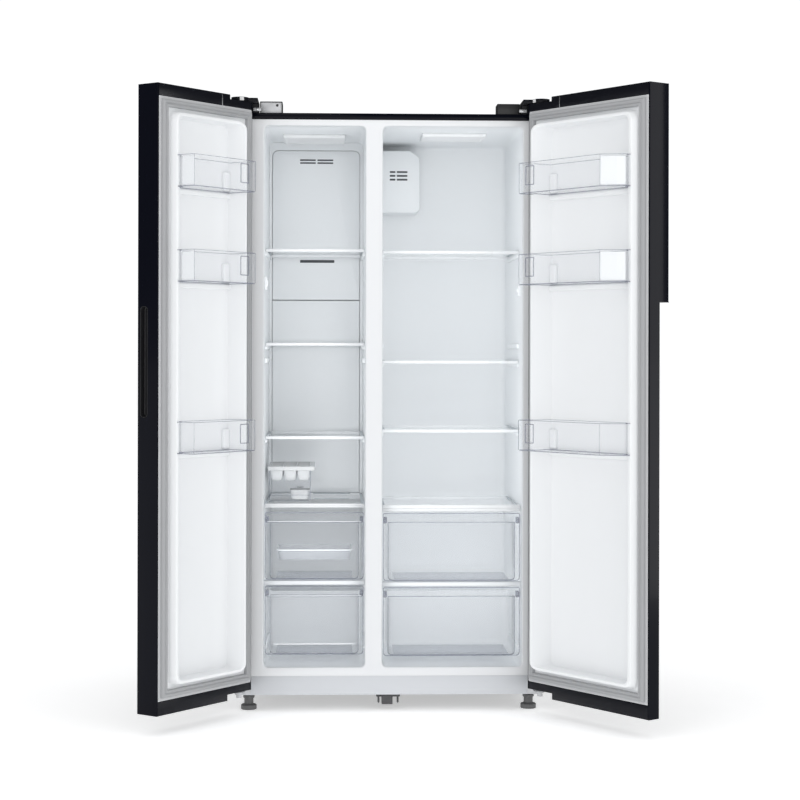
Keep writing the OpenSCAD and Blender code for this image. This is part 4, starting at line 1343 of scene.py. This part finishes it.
@dataclass
class Door:
    """A door: painted skin, end caps, moulded liner, gasket, bins and its hand grip."""

    side: str
    shape: DoorShape
    swing: Swing
    sheet: float = 0.0015
    lip: float = 0.005
    front_corner: float = 0.005
    ridge_hinge: float = 0.052
    ridge_free: float = 0.029
    ridge_end: float = 0.026
    ridge_corner: float = 0.032

    def __post_init__(self) -> None:
        """Read the door's own sizes from the frame."""
        self.body = f"{self.side}_door"
        self.skin = self.swing.local_box(f"{self.body}_skin")
        self.liner = self.swing.local_box(f"{self.body}_liner")
        self.width = self.skin.hi.x
        self.front = self.skin.lo.y

    def build(self) -> None:
        """Build every part of the door."""
        self._skin()
        self._end_caps()
        self._liner()
        self._gasket()
        self._bins()
        self._grip()
        dress_node(f"{self.body}_foam", FOAM)
        dress_node(f"{self.body}_bushes", BUSH)

    def _finish(
        self, piece: bpy.types.Object, name: str, finish: Finish, replaces: Sequence[str] = (), smooth: float = 32.0
    ) -> None:
        """Swing a piece into place and dress it.

        Args:
            piece: The piece, made with the door closed.
            name: Its name after the side's.
            finish: Its surface finish.
            replaces: The CAD nodes that it stands for.
            smooth: Faces that meet at less than this angle are shaded as one.
        """
        self.swing.settle(named(piece, f"{self.side}_{name}"))
        dress(piece, finish, self.body, replaces, smooth)

    def _hinge_cuts(self) -> list[bpy.types.Object]:
        """The clearances for the hinges at the door's two hinge corners."""
        lo, hi = self.skin.lo, self.skin.hi
        depth = -(hi.y - lo.y) + 0.008
        return [
            slab("notch", (-0.01, depth, hi.z - 0.013), (0.097, 0.01, hi.z + 0.01)),
            slab("notch", (-0.01, depth, lo.z - 0.01), (0.104, 0.01, lo.z + 0.0175)),
        ]

    def _grip_cuts(self) -> list[bpy.types.Object]:
        """What the hand grip takes out of the door's skin and caps."""
        return []

    def _skin(self) -> None:
        """The painted sheet: a front and two sides, each turned in by a lip."""
        w, t, s = self.width, self.front, self.sheet
        corners = [
            (self.lip, 0.0), (0.0, 0.0), (0.0, t), (w, t), (w, 0.0), (w - self.lip, 0.0),
            (w - self.lip, -s), (w - s, -s), (w - s, t + s), (s, t + s), (s, -s), (self.lip, -s),
        ]
        corner = self.front_corner
        radii = [0.0003, 0.0012, corner, corner, 0.0012, 0.0003]
        radii += [0.0003, 0.0004, corner - s, corner - s, 0.0004, 0.0003]
        outline = filleted(corners, radii, 5)
        skin = prism("skin", Plane.FLAT, outline, self.skin.lo.z, self.skin.hi.z)
        cut(skin, *self._hinge_cuts(), *self._grip_cuts())
        self._finish(skin, "door_skin_painted", GLOSS_PAINT, [f"{self.body}_skin"])

    def _end_caps(self) -> None:
        """The moulded caps at the top and the bottom, with a joint line on the inner face."""
        w, t, s = self.width, self.front, self.sheet
        caps = []
        outline = rect(s, w - s, t + s, 0.0, [self.front_corner - s, self.front_corner - s, 0.001, 0.001], 5)
        for z0, z1 in ((self.skin.hi.z - 0.035, self.skin.hi.z), (self.skin.lo.z, self.skin.lo.z + 0.04)):
            caps.append(prism("cap", Plane.FLAT, outline, z0, z1))
        top = self.skin.hi.z
        seam = slab("seam", (0.130, -0.001, top - 0.034), (0.1325, 0.0006, top - 0.002), 0.0004, 2)
        piece = joined("caps", caps)
        lips = [
            slab("lip", (x0, -s, self.skin.lo.z - 0.01), (x1, 0.01, top + 0.01))
            for x0, x1 in ((-0.01, self.lip), (w - self.lip, w + 0.01))
        ]
        cut(piece, *lips, *self._hinge_cuts(), *self._grip_cuts())
        soften(piece, 0.0008, 2)
        self._finish(piece, "door_caps_moulded", BLACK_CAP, [f"{self.body}_end_caps"])
        self._finish(seam, "door_cap_seam", HINGE_STEEL)

    def _ridge_ring(self, u0: float, u1: float, ends: float, corner: float, heights: Sequence[float]) -> list[Vector]:
        """A ring round the liner whose height changes from the hinge side to the free side.

        Args:
            u0: Where it runs on the hinge side.
            u1: Where it runs on the free side.
            ends: How far it stays from the liner's two ends.
            corner: Its corner radius.
            heights: The heights on the hinge side, on the free side and along the ends.

        Returns:
            The points of the ring.
        """
        z0, z1 = self.liner.lo.z + ends, self.liner.hi.z - ends
        hinge, free, end = heights
        reach = self.ridge_corner * 1.2

        def height(u: float) -> float:
            """The height of the ridge at this distance from the hinge side."""
            near = max(0.0, 1 - (u - u0) / reach)
            far = max(0.0, 1 - (u1 - u) / reach)
            return end + (hinge - end) * near**1.5 + (free - end) * far

        return [Vector((u, height(u), z)) for u, z in rect(u0, u1, z0, z1, corner, 7)]

    def _liner(self) -> None:
        """The inner panel: a flat flange, a ridge all round that is highest at the hinge, and a sunk floor."""
        shape, w, s, lip = self.shape, self.width, self.sheet, self.lip
        box = self.liner
        back = -0.013
        flat = Plane.ACROSS
        rings = [
            flat.ring(rect(s, w - s, box.lo.z, box.hi.z, 0.001, 7), back),
            flat.ring(rect(s, w - s, box.lo.z, box.hi.z, 0.001, 7), -s),
            flat.ring(rect(lip, w - lip, box.lo.z, box.hi.z, 0.001, 7), -s),
            flat.ring(rect(lip, w - lip, box.lo.z, box.hi.z, 0.001, 7), 0.0),
        ]
        r = self.ridge_corner
        high, low, end = self.ridge_hinge, self.ridge_free, self.ridge_end
        foot_u, foot_v = shape.hinge_foot, shape.free_foot
        crest_u, crest_v = shape.hinge_crest, shape.free_crest
        shoulder = (high - 0.0035, low - 0.0025, end - 0.0025)
        brow = (high - 0.001, low - 0.0008, end - 0.0008)
        ring = self._ridge_ring
        rings += [
            ring(foot_u - 0.003, foot_v + 0.003, 0.034, r + 0.003, (0.0, 0.0, 0.0)),
            ring(foot_u, foot_v, 0.038, r, (0.0022, 0.002, 0.002)),
            ring(shape.hinge_knee, shape.free_knee, 0.0395, r - 0.0015, (0.010, 0.009, 0.009)),
            ring(crest_u[0] - 0.0012, crest_v[1] + 0.0008, 0.0415, r - 0.003, shoulder),
            ring(crest_u[0] - 0.0002, crest_v[1] - 0.0002, 0.0425, r - 0.004, brow),
            ring(crest_u[0] + 0.0012, crest_v[1] - 0.0018, 0.044, r - 0.005, (high, low, end)),
            ring(crest_u[1] - 0.0012, crest_v[0] + 0.0018, 0.049, r - 0.008, (high, low, end)),
            ring(crest_u[1], crest_v[0], 0.0505, r - 0.009, brow),
            ring(crest_u[1] + 0.001, crest_v[0] - 0.0008, 0.0515, r - 0.01, shoulder),
            ring(shape.hinge_inner, shape.free_inner, 0.054, r - 0.011, (-0.007, -0.007, -0.007)),
            ring(shape.hinge_inner + 0.001, shape.free_inner - 0.001, 0.055, r - 0.012, (-0.0092, -0.0092, -0.0092)),
            ring(shape.hinge_inner + 0.0035, shape.free_inner - 0.0035, 0.0575, r - 0.014, (-0.01, -0.01, -0.01)),
        ]
        self._finish(loft("liner", rings), "door_liner_moulded", DOOR_WHITE, [f"{self.body}_liner"], 50.0)
        self._bin_seats()

    def _bin_seats(self) -> None:
        """The moulded pads behind each bin and the ledge that each bin stands on."""
        parts = []
        u0, u1 = self.shape.hinge_inner, self.shape.free_inner
        for box in self._bin_boxes():
            z = box.lo.z
            parts.append(slab("ledge", (u0 - 0.002, -0.012, z - 0.016), (u1 + 0.002, 0.0012, z - 0.0006), 0.0035, 4))
            for u in (u0, u1 - 0.026):
                parts.append(slab("pad", (u, -0.012, z + 0.004), (u + 0.026, 0.0012, z + 0.06), 0.005, 4))
        self._finish(joined("seats", parts), "door_bin_seats", DOOR_WHITE)

    def _gasket(self) -> None:
        """The magnetic seal: a thin foot at the edge and a soft bulb with a groove."""
        box = self.swing.local_box(f"{self.body}_gasket")
        profile = [
            (0.0072, 0.0), (0.0072, 0.004), (0.0078, 0.0085), (0.0095, 0.0108), (0.012, 0.0113), (0.0155, 0.0112),
            (0.0168, 0.0098), (0.0182, 0.0088), (0.0194, 0.0098), (0.0205, 0.0113), (0.0245, 0.0113),
            (0.0263, 0.01), (0.027, 0.0075), (0.027, 0.0),
        ]
        foot = [(0.0, 0.0), (0.0, 0.0014), (0.0008, 0.002), (0.0066, 0.002), (0.0071, 0.0016), (0.0071, 0.0)]

        def rings(points: Sequence[Point]) -> list[list[Vector]]:
            """Run a profile of inset and height round the seal's rectangle."""
            made = []
            for inset, height in points:
                outline = rect(
                    box.lo.x + inset, box.hi.x - inset, box.lo.z + inset, box.hi.z - inset,
                    max(0.004 - inset / 4, 0.0006), 4,
                )
                made.append(Plane.ACROSS.ring(outline, height))
            return made

        bulb = loft("bulb", rings(profile), closed=True)
        self._finish(bulb, "door_gasket_bulb", GASKET_GREY, [f"{self.body}_gasket"])
        # The foot is in the paler grey, a painted highlight on the seal's outer stripe.
        self._finish(loft("foot", rings(foot), closed=True), "door_gasket_foot", GASKET_LIT)

    def _bin_boxes(self) -> list[Box]:
        """The boxes of the door's bins, the lowest first."""
        return solid_boxes(f"{self.body}_bins")

    def _bins(self) -> None:
        """Clear bins that hook over both ridges, with a rolled rim and a thick floor."""
        shape = self.shape
        outer = filleted(shape.bin_outer, shape.bin_radii, 5)
        inner = filleted(shape.bin_inner, [max(r - 0.0015, 0.001) for r in shape.bin_radii], 5)
        for index, box in enumerate(self._bin_boxes()):
            z0, z1 = box.lo.z, box.hi.z
            steps = [
                (0.8, z0), (0.3, z0 + 0.0006), (0.0, z0 + 0.002), (0.0, z1 - 0.0055), (-0.35, z1 - 0.0045),
                (-0.35, z1 - 0.0008), (0.0, z1), (0.9, z1),
                (1.2, z1 - 0.0008), (1.2, z1 - 0.0045), (1.0, z1 - 0.0055),
                (1.0, z0 + 0.0045), (1.3, z0 + 0.003), (2.0, z0 + 0.0025),
            ]
            rings = [Plane.FLAT.ring(between(outer, inner, share), z) for share, z in steps]
            tub = loft("bin", rings)
            replaced = [f"{self.body}_bins"] if index == 0 else []
            self._finish(tub, f"door_bin_{index + 1}", CLEAR, replaced)
            self._bin_edges(index, box, outer, inner)

    def _bin_edges(self, index: int, box: Box, outer: list[Point], inner: list[Point]) -> None:
        """The thick edges of a bin, in a darker clear plastic that paints the shade which refraction gives them, and
        the white end wall of an upper bin.

        Args:
            index: Which bin it is, from 0 for the lowest.
            box: The box of the bin.
            outer: Its outline outside.
            inner: Its outline inside.
        """
        z0, z1 = box.lo.z, box.hi.z

        def hoop(out: float, deep: float, low: float, high: float) -> bpy.types.Object:
            """A band round the bin between two levels."""
            steps = [(out, low), (out, high), (deep, high), (deep, low)]
            return loft("hoop", [Plane.FLAT.ring(between(outer, inner, share), z) for share, z in steps], closed=True)

        parts = [hoop(-0.15, 1.0, z0 - 0.0002, z0 + 0.0022), hoop(-0.45, 0.1, z1 - 0.0013, z1 + 0.0001)]
        for corner, half in ((3, 0.0007), (4, 0.0004)):
            u, v = self.shape.bin_outer[corner]
            u += 0.001 if corner == 3 else -0.001
            v -= 0.001
            parts.append(slab("post", (u - half, v - half, z0 + 0.002), (u + half, v + half, z1 - 0.001), 0.0002, 1))
        u, v = self.shape.bin_outer[3]
        latch = rect(u + 0.030, u + 0.066, z0 + 0.022, z1 - 0.010, 0.003, 3)
        slot = rect(u + 0.0325, u + 0.0635, z0 + 0.0245, z1 - 0.0125, 0.002, 3)
        levels = [(latch, v - 0.0004), (latch, v + 0.001), (slot, v + 0.001), (slot, v - 0.0004)]
        parts.append(loft("latch", [Plane.ACROSS.ring(shape, level) for shape, level in levels], closed=True))
        self._finish(joined("edges", parts), f"door_bin_edges_{index + 1}", CLEAR_EDGE_SHADE)
        if index:
            a, b = self.shape.bin_inner[4], self.shape.bin_inner[5]
            slim = [(a[0] - 0.0003, a[1] - 0.001), (b[0] - 0.0003, b[1] + 0.001), (b[0] - 0.0015, b[1] + 0.0005),
                    (a[0] - 0.0015, a[1] - 0.0015)]
            wall = prism("wall", Plane.FLAT, slim, z0 + 0.005, z1 - 0.006)
            self._finish(wall, f"door_bin_end_{index + 1}", TRIM_WHITE)

    def _grip(self) -> None:
        """The hand grip, which each door has in its own form."""


@dataclass
class FreezerDoor(Door):
    """The freezer door, with a finger pocket in its free edge."""

    pocket_r: float = 0.0135

    def _pocket(self, inset: float) -> list[Point]:
        """The pocket's outline on the free edge, smaller by an inset."""
        box = self.swing.local_box(f"{self.body}_grip")
        radius = self.pocket_r - inset
        return rect(box.lo.y + inset, box.hi.y - inset, box.lo.z + inset, box.hi.z - inset, radius, 6)

    def _grip_cuts(self) -> list[bpy.types.Object]:
        """The slot that the pocket sits in."""
        return [prism("pocket", Plane.SIDE, self._pocket(0.0), self.width - 0.02, self.width + 0.01)]

    def _grip(self) -> None:
        """A cup that lines the pocket, with a fine raised rim."""
        w = self.width
        levels = [
            (0.0003, w - 0.0195), (0.0003, w - 0.0008), (0.0006, w), (0.0018, w), (0.0024, w - 0.001),
            (0.0026, w - 0.016), (0.004, w - 0.0175),
        ]
        cup = loft("cup", [Plane.SIDE.ring(self._pocket(inset), level) for inset, level in levels])
        self._finish(cup, "door_finger_pocket", BLACK_PART, [f"{self.body}_grip"])


@dataclass
class FridgeDoor(Door):
    """The fresh food door, with a hand channel down its free edge."""

    def _grip_cuts(self) -> list[bpy.types.Object]:
        """The channel's space."""
        box = self.swing.local_box(f"{self.body}_grip")
        lo = (box.lo.x, self.front - 0.01, self.skin.lo.z - 0.01)
        return [slab("channel", lo, (self.width + 0.01, box.hi.y, box.hi.z))]

    def _grip(self) -> None:
        """The angle that lines the channel."""
        piece = refined_copy(f"{self.side}_door_hand_channel", f"{self.body}_grip", 0.0006)
        dress(piece, BLACK_PART, self.body, [f"{self.body}_grip"])


# ---- Hinges, feet and other hardware ----


@dataclass
class Hardware:
    """Hinges with their covers, wiring boxes, feet, rollers and the bracket under the middle."""

    body: str = "cabinet"
    screw: Screw = field(default_factory=Screw)

    def build(self) -> None:
        """Build all of the hardware."""
        for name, node, width, finish in (
            ("top_hinges_pressed", "top_hinges", 0.0005, HINGE_STEEL),
            ("bottom_hinges_pressed", "bottom_hinges", 0.0007, PLATED),
            ("hinge_covers_moulded", "hinge_covers", 0.002, BLACK_CAP),
            ("roller_brackets_pressed", "roller_brackets", 0.0003, ZINC),
            ("centre_bracket_pressed", "centre_bracket", 0.0012, BRACKET_GREY),
            ("cord_gland_moulded", "cord_gland", 0.0006, BLACK_PART),
        ):
            dress(refined_copy(name, node, width), finish, self.body, [node])
        self._wiring_boxes()
        self._hinge_screws()
        self._cover_details()
        for side in ("left", "right"):
            self._foot(side)
            self._roller(side)

    def _wiring_boxes(self) -> None:
        """The zinc box on the left, with a black rim round its front and a bore, and the black box on the right."""
        left, right = sorted(solid_boxes("wiring_boxes"), key=lambda box: box.lo.x)
        metal = block("wiring_box_left", left, 0.0012, 2)
        hole = turned("hole", Plane.ACROSS, (left.hi.x - 0.015, left.lo.z + 0.024),
                      [(0.004, left.lo.y - 0.01), (0.004, left.lo.y + 0.01)], 24)
        cut(metal, hole)
        dress(metal, PLATED, self.body, ["wiring_boxes"])
        # A black disc in the hole paints the shade of a deep bore.
        bore = turned("wiring_box_bore_shade", Plane.ACROSS, (left.hi.x - 0.015, left.lo.z + 0.024),
                      [(0.0039, left.lo.y + 0.0015), (0.0039, left.lo.y + 0.006)], 24)
        dress(bore, BLACK_PART, self.body)
        outer = rect(left.lo.x - 0.0004, left.hi.x + 0.0004, left.lo.z, left.hi.z + 0.0004, 0.002, 3)
        inner = rect(left.lo.x + 0.0022, left.hi.x - 0.0026, left.lo.z + 0.001, left.hi.z - 0.0026, 0.001, 3)
        levels = [(outer, left.lo.y - 0.0006), (outer, left.hi.y), (inner, left.hi.y), (inner, left.lo.y - 0.0006)]
        rim = loft("wiring_box_rim", [Plane.ACROSS.ring(shape, level) for shape, level in levels], closed=True)
        dress(rim, BLACK_PART, self.body)
        plastic = block("wiring_box_right", right, 0.002, 3)
        dress(plastic, BLACK_PART, self.body)

    def _hinge_screws(self) -> None:
        """Screws in the bottom hinges."""
        places = []
        for box in solid_boxes("bottom_hinges"):
            middle = box.middle.x
            inner = 1 if middle < 0 else -1
            plate_x = middle - inner * 0.003
            for dx, dz in ((-0.011, 0.033), (0.011, 0.033), (0.0, 0.022)):
                places.append(Vector((plate_x + dx, -0.003, box.lo.z + dz)))
        dress(self.screw.row("bottom_hinge_screws", Plane.ACROSS, places, -1.0), ZINC, self.body)

    def _cover_details(self) -> None:
        """A blank label on each hinge cover, and a steel link with its screw under the cover."""
        links, heads = [], []
        for index, box in enumerate(sorted(solid_boxes("hinge_covers"), key=lambda b: b.lo.x)):
            side = -1 if box.middle.x < 0 else 1
            hinge_name = ("freezer_door_hinge", "fridge_door_hinge")[index]
            joint = next(j for j in frame["joints"] if j["name"] == hinge_name)
            x, y, _ = joint["pos_m"]
            turns = ((2, 30), (-76, -44))[index]
            arc = [math.radians(turns[0] + (turns[1] - turns[0]) * i / 8) for i in range(9)]
            outline = [(x + 0.0253 * math.sin(a), y - 0.0253 * math.cos(a)) for a in arc]
            outline += [(x + 0.0247 * math.sin(a), y - 0.0247 * math.cos(a)) for a in reversed(arc)]
            label = prism(f"cover_label_{index + 1}", Plane.FLAT, outline, box.hi.z - 0.0105, box.hi.z - 0.0012)
            dress(label, LABEL, self.body)
            x0, x1 = sorted((side * 0.377, side * 0.399))
            z = box.lo.z + 0.005
            links.append(slab("link", (x0, -0.0016, z), (x1, 0.0024, z + 0.009), 0.0012, 3))
            heads.append(Vector(((x0 + x1) / 2, -0.0016, z + 0.0045)))
        dress(joined("hinge_links", links), PLATED, self.body)
        screws = Screw(0.0036, 0.0016, 0.0009).row("hinge_link_screws", Plane.ACROSS, heads, -1.0)
        dress(screws, HINGE_STEEL, self.body)

    def _foot(self, side: str) -> None:
        """A levelling foot with a knurled sole."""
        node = f"front_foot_{side}"
        box = node_box(node)
        x, y = box.middle.x, box.middle.y
        knurl = [(0.0215, 0.0), (0.0225, 0.0015), (0.0225, 0.0125), (0.0205, 0.0145)]
        smooth = [(0.0135, 0.0165), (0.0135, 0.033), (0.0168, 0.034)]
        smooth += [(0.0168, 0.0402), (0.005, 0.041), (0.005, 0.0698)]
        rings = [Plane.FLAT.ring(circle(x, y, r, 96, 24, 0.0005), z) for r, z in knurl]
        rings += [Plane.FLAT.ring(circle(x, y, r, 96), z) for r, z in smooth]
        foot = loft(f"{node}_knurled", rings)
        dress(foot, FOOT_GREY, f"foot_{side}", [node], 40.0)

    def _roller(self, side: str) -> None:
        """A rear roller with a rounded tread, a dished hub and its bore."""
        node = f"rear_roller_{side}"
        box = node_box(node)
        y, z = box.middle.y, box.middle.z
        x0, x1 = box.lo.x, box.hi.x
        profile = [
            (0.00405, x0), (0.008, x0), (0.009, x0 + 0.003), (0.016, x0 + 0.003), (0.0175, x0), (0.0205, x0 + 0.0002),
            (0.022, x0 + 0.002), (0.022, x1 - 0.002), (0.0205, x1 - 0.0002), (0.0175, x1), (0.016, x1 - 0.003),
            (0.009, x1 - 0.003), (0.008, x1), (0.00405, x1),
        ]
        rings = [Plane.SIDE.ring(circle(y, z, radius, 40), level) for radius, level in profile]
        dress(loft(f"{node}_turned", rings, closed=True), BLACK_PART, f"roller_{side}", [node])


@dataclass
class Machinery:
    """The cooling machinery, which keeps its CAD shapes behind the cover."""

    finishes: dict[str, Finish] = field(
        default_factory=lambda: {
            "compressor": DARK_STEEL,
            "compressor_mounts": RUBBER,
            "condenser": DARK_STEEL,
            "condenser_fan": BLACK_PART,
            "evaporator_fan": BLACK_PART,
            "fan_motors": ZINC,
            "drain_pan": BLACK_PART,
            "evaporator": FIN,
            "damper_flap": TRIM_WHITE,
        }
    )

    def build(self) -> None:
        """Dress every hidden machine part."""
        for node, finish in self.finishes.items():
            dress_node(node, finish)


# ---- Studio ----


@dataclass(frozen=True)
class Softbox:
    """A soft rectangular lamp: where it stands, where it points, its size and its power in watts."""

    name: str
    place: Place
    target: Place
    size: Point
    power: float
    gloss_only: bool = False

    def build(self) -> None:
        """Set the lamp up. A lamp for gloss alone lights nothing but reflections."""
        bpy.ops.object.light_add(type="AREA", location=self.place)
        lamp = named(bpy.context.active_object, f"light_{self.name}")
        lamp.data.shape = "RECTANGLE"
        lamp.data.size, lamp.data.size_y = self.size
        lamp.data.energy = self.power
        aim = Vector(self.target) - Vector(self.place)
        lamp.rotation_euler = aim.to_track_quat("-Z", "Y").to_euler()
        lamp.visible_diffuse = not self.gloss_only


SOFTBOXES = (
    Softbox("key", (-2.6, -4.2, 3.4), (0.0, 0.3, 0.9), (2.6, 2.0), 26.0),
    Softbox("fill", (2.9, -4.0, 2.2), (0.0, 0.3, 0.9), (2.4, 2.4), 22.0),
    Softbox("front", (0.0, -5.8, 1.7), (0.0, 0.0, 0.9), (2.0, 1.6), 14.0),
    Softbox("top", (0.0, -0.6, 4.2), (0.0, 0.2, 0.9), (3.0, 2.2), 12.0),
    Softbox("edge", (3.6, -1.25, 1.0), (0.7, -0.5, 1.0), (1.0, 2.6), 26.0, gloss_only=True),
    Softbox("brow", (0.0, -5.8, 2.5), (0.0, 0.0, 1.75), (3.2, 0.9), 12.0, gloss_only=True),
)


@dataclass
class Studio:
    """The camera, a pale floor and soft light."""

    eye: Place = (-0.1693, -5.5894, 1.0443)
    turn: float = 2.036
    roll: float = 0.116
    lens: float = 86.27
    shift_y: float = -0.0595
    ambient: float = 0.7
    gloss_sky: float = 0.1
    cavity_glow: float = 0.36
    low_glow: float = 0.2
    bay_glow: Point = (0.64, 0.42)
    low_z: Point = (0.62, 1.02)
    upper_bay_z: Point = (0.385, 0.565)
    lower_bay_z: Point = (0.165, 0.345)
    bay_y: float = 0.043
    floor_size: float = 400.0

    def build(self) -> None:
        """Make the camera, the floor, the sky and the lamps."""
        self._camera()
        self._floor()
        self._sky()
        for softbox in SOFTBOXES:
            softbox.build()
        for side, bay_glow in zip(("freezer", "fridge"), self.bay_glow):
            space = Opening.of(f"{side}_liner").box
            self._mouth_light(f"{side}_mouth", space, self.cavity_glow)
            low = Box(Vector((space.lo.x, space.lo.y, self.low_z[0])), Vector((space.hi.x, space.hi.y, self.low_z[1])))
            self._mouth_light(f"{side}_low", low, self.low_glow)
            for name, (z0, z1) in (("upper", self.upper_bay_z), ("lower", self.lower_bay_z)):
                bay = Box(Vector((space.lo.x, self.bay_y, z0)), Vector((space.hi.x, self.bay_y, z1)))
                self._mouth_light(f"{side}_{name}_bay", bay, bay_glow)
        bpy.context.scene.view_settings.view_transform = "Standard"

    def _mouth_light(self, name: str, space: Box, glow: float) -> None:
        """A sheet of light at the mouth of a compartment that shines to its back.

        Args:
            name: The name of the lamp.
            space: The clear space that it lights.
            glow: How bright the sheet is.
        """
        size = (space.hi.x - space.lo.x - 0.04, space.hi.z - space.lo.z - 0.04)
        place = (space.middle.x, space.lo.y + 0.012, space.middle.z)
        power = 4 * glow * size[0] * size[1]
        Softbox(name, place, (place[0], place[1] + 1, place[2]), size, power).build()

    def _camera(self) -> None:
        """A level camera that looks a little to the right."""
        turn, roll = math.radians(self.turn), math.radians(self.roll)
        ahead = Vector((math.sin(turn), math.cos(turn), 0))
        level = Vector((math.cos(turn), -math.sin(turn), 0))
        up = Vector((0, 0, 1))
        right = level * math.cos(roll) + up * math.sin(roll)
        top = up * math.cos(roll) - level * math.sin(roll)
        bpy.ops.object.camera_add(location=self.eye)
        camera = named(bpy.context.active_object, "camera")
        turned_axes = Matrix((right, top, -ahead)).transposed().to_4x4()
        camera.matrix_world = Matrix.Translation(self.eye) @ turned_axes
        camera.data.lens = self.lens
        camera.data.sensor_width = 36.0
        camera.data.shift_y = self.shift_y
        bpy.context.scene.camera = camera

    def _floor(self) -> None:
        """A plain pale floor, wide enough to reach the horizon."""
        deselect_all()
        bpy.ops.mesh.primitive_plane_add(size=self.floor_size)
        floor = named(bpy.context.active_object, "studio_floor")
        pale = Finish("floor_pale", "", (0.97, 0.97, 0.97), 0.9, 0.05, 0.0, mottle=0.002, glow=0.42)
        floor.data.materials.append(pale.material())

    def _sky(self) -> None:
        """A white surround that lights the object and stays dim in its gloss."""
        world = bpy.data.worlds.new("studio_sky")
        bpy.context.scene.world = world
        world.use_nodes = True
        tree = world.node_tree
        sky = tree.nodes["Background"]
        sky.inputs["Color"].default_value = (0.98, 0.99, 1.0, 1.0)
        path = tree.nodes.new("ShaderNodeLightPath")
        direct = self._math(tree, "MAXIMUM", path.outputs["Is Camera Ray"], path.outputs["Is Transmission Ray"])
        gloss = path.outputs["Is Glossy Ray"]
        dim = self._math(tree, "MULTIPLY_ADD", gloss, self.gloss_sky - self.ambient, self.ambient)
        strength = self._math(tree, "MAXIMUM", self._math(tree, "MULTIPLY", direct, 1.06), dim)
        tree.links.new(strength, sky.inputs["Strength"])

    def _math(
        self, tree: bpy.types.NodeTree, operation: str, *values: bpy.types.NodeSocket | float
    ) -> bpy.types.NodeSocket:
        """Add a math node on sockets or numbers and return its output."""
        node = tree.nodes.new("ShaderNodeMath")
        node.operation = operation
        for socket, value in zip(node.inputs, values):
            if isinstance(value, (int, float)):
                socket.default_value = value
            else:
                tree.links.new(value, socket)
        return node.outputs[0]


def main() -> None:
    """Build the studio and every sub-assembly."""
    logging.basicConfig(level=logging.INFO, format="%(message)s")
    Studio().build()
    Cabinet().build()
    Compartment("freezer", 0, spare_ledges=(1.026,)).build()
    Compartment("fridge", 1, spare_ledges=(1.07,), clip_z=(1.213, 1.243), clip_on_right=True).build()
    AirDucts().build()
    DrawerBay().build()
    IceMaker().build()
    FreezerDoor("freezer", FREEZER_SHAPE, Swing("freezer_door_hinge", False)).build()
    FridgeDoor("fridge", FRIDGE_SHAPE, Swing("fridge_door_hinge", True)).build()
    Hardware().build()
    Machinery().build()
    deselect_all()


if __name__ == "__main__":
    main()
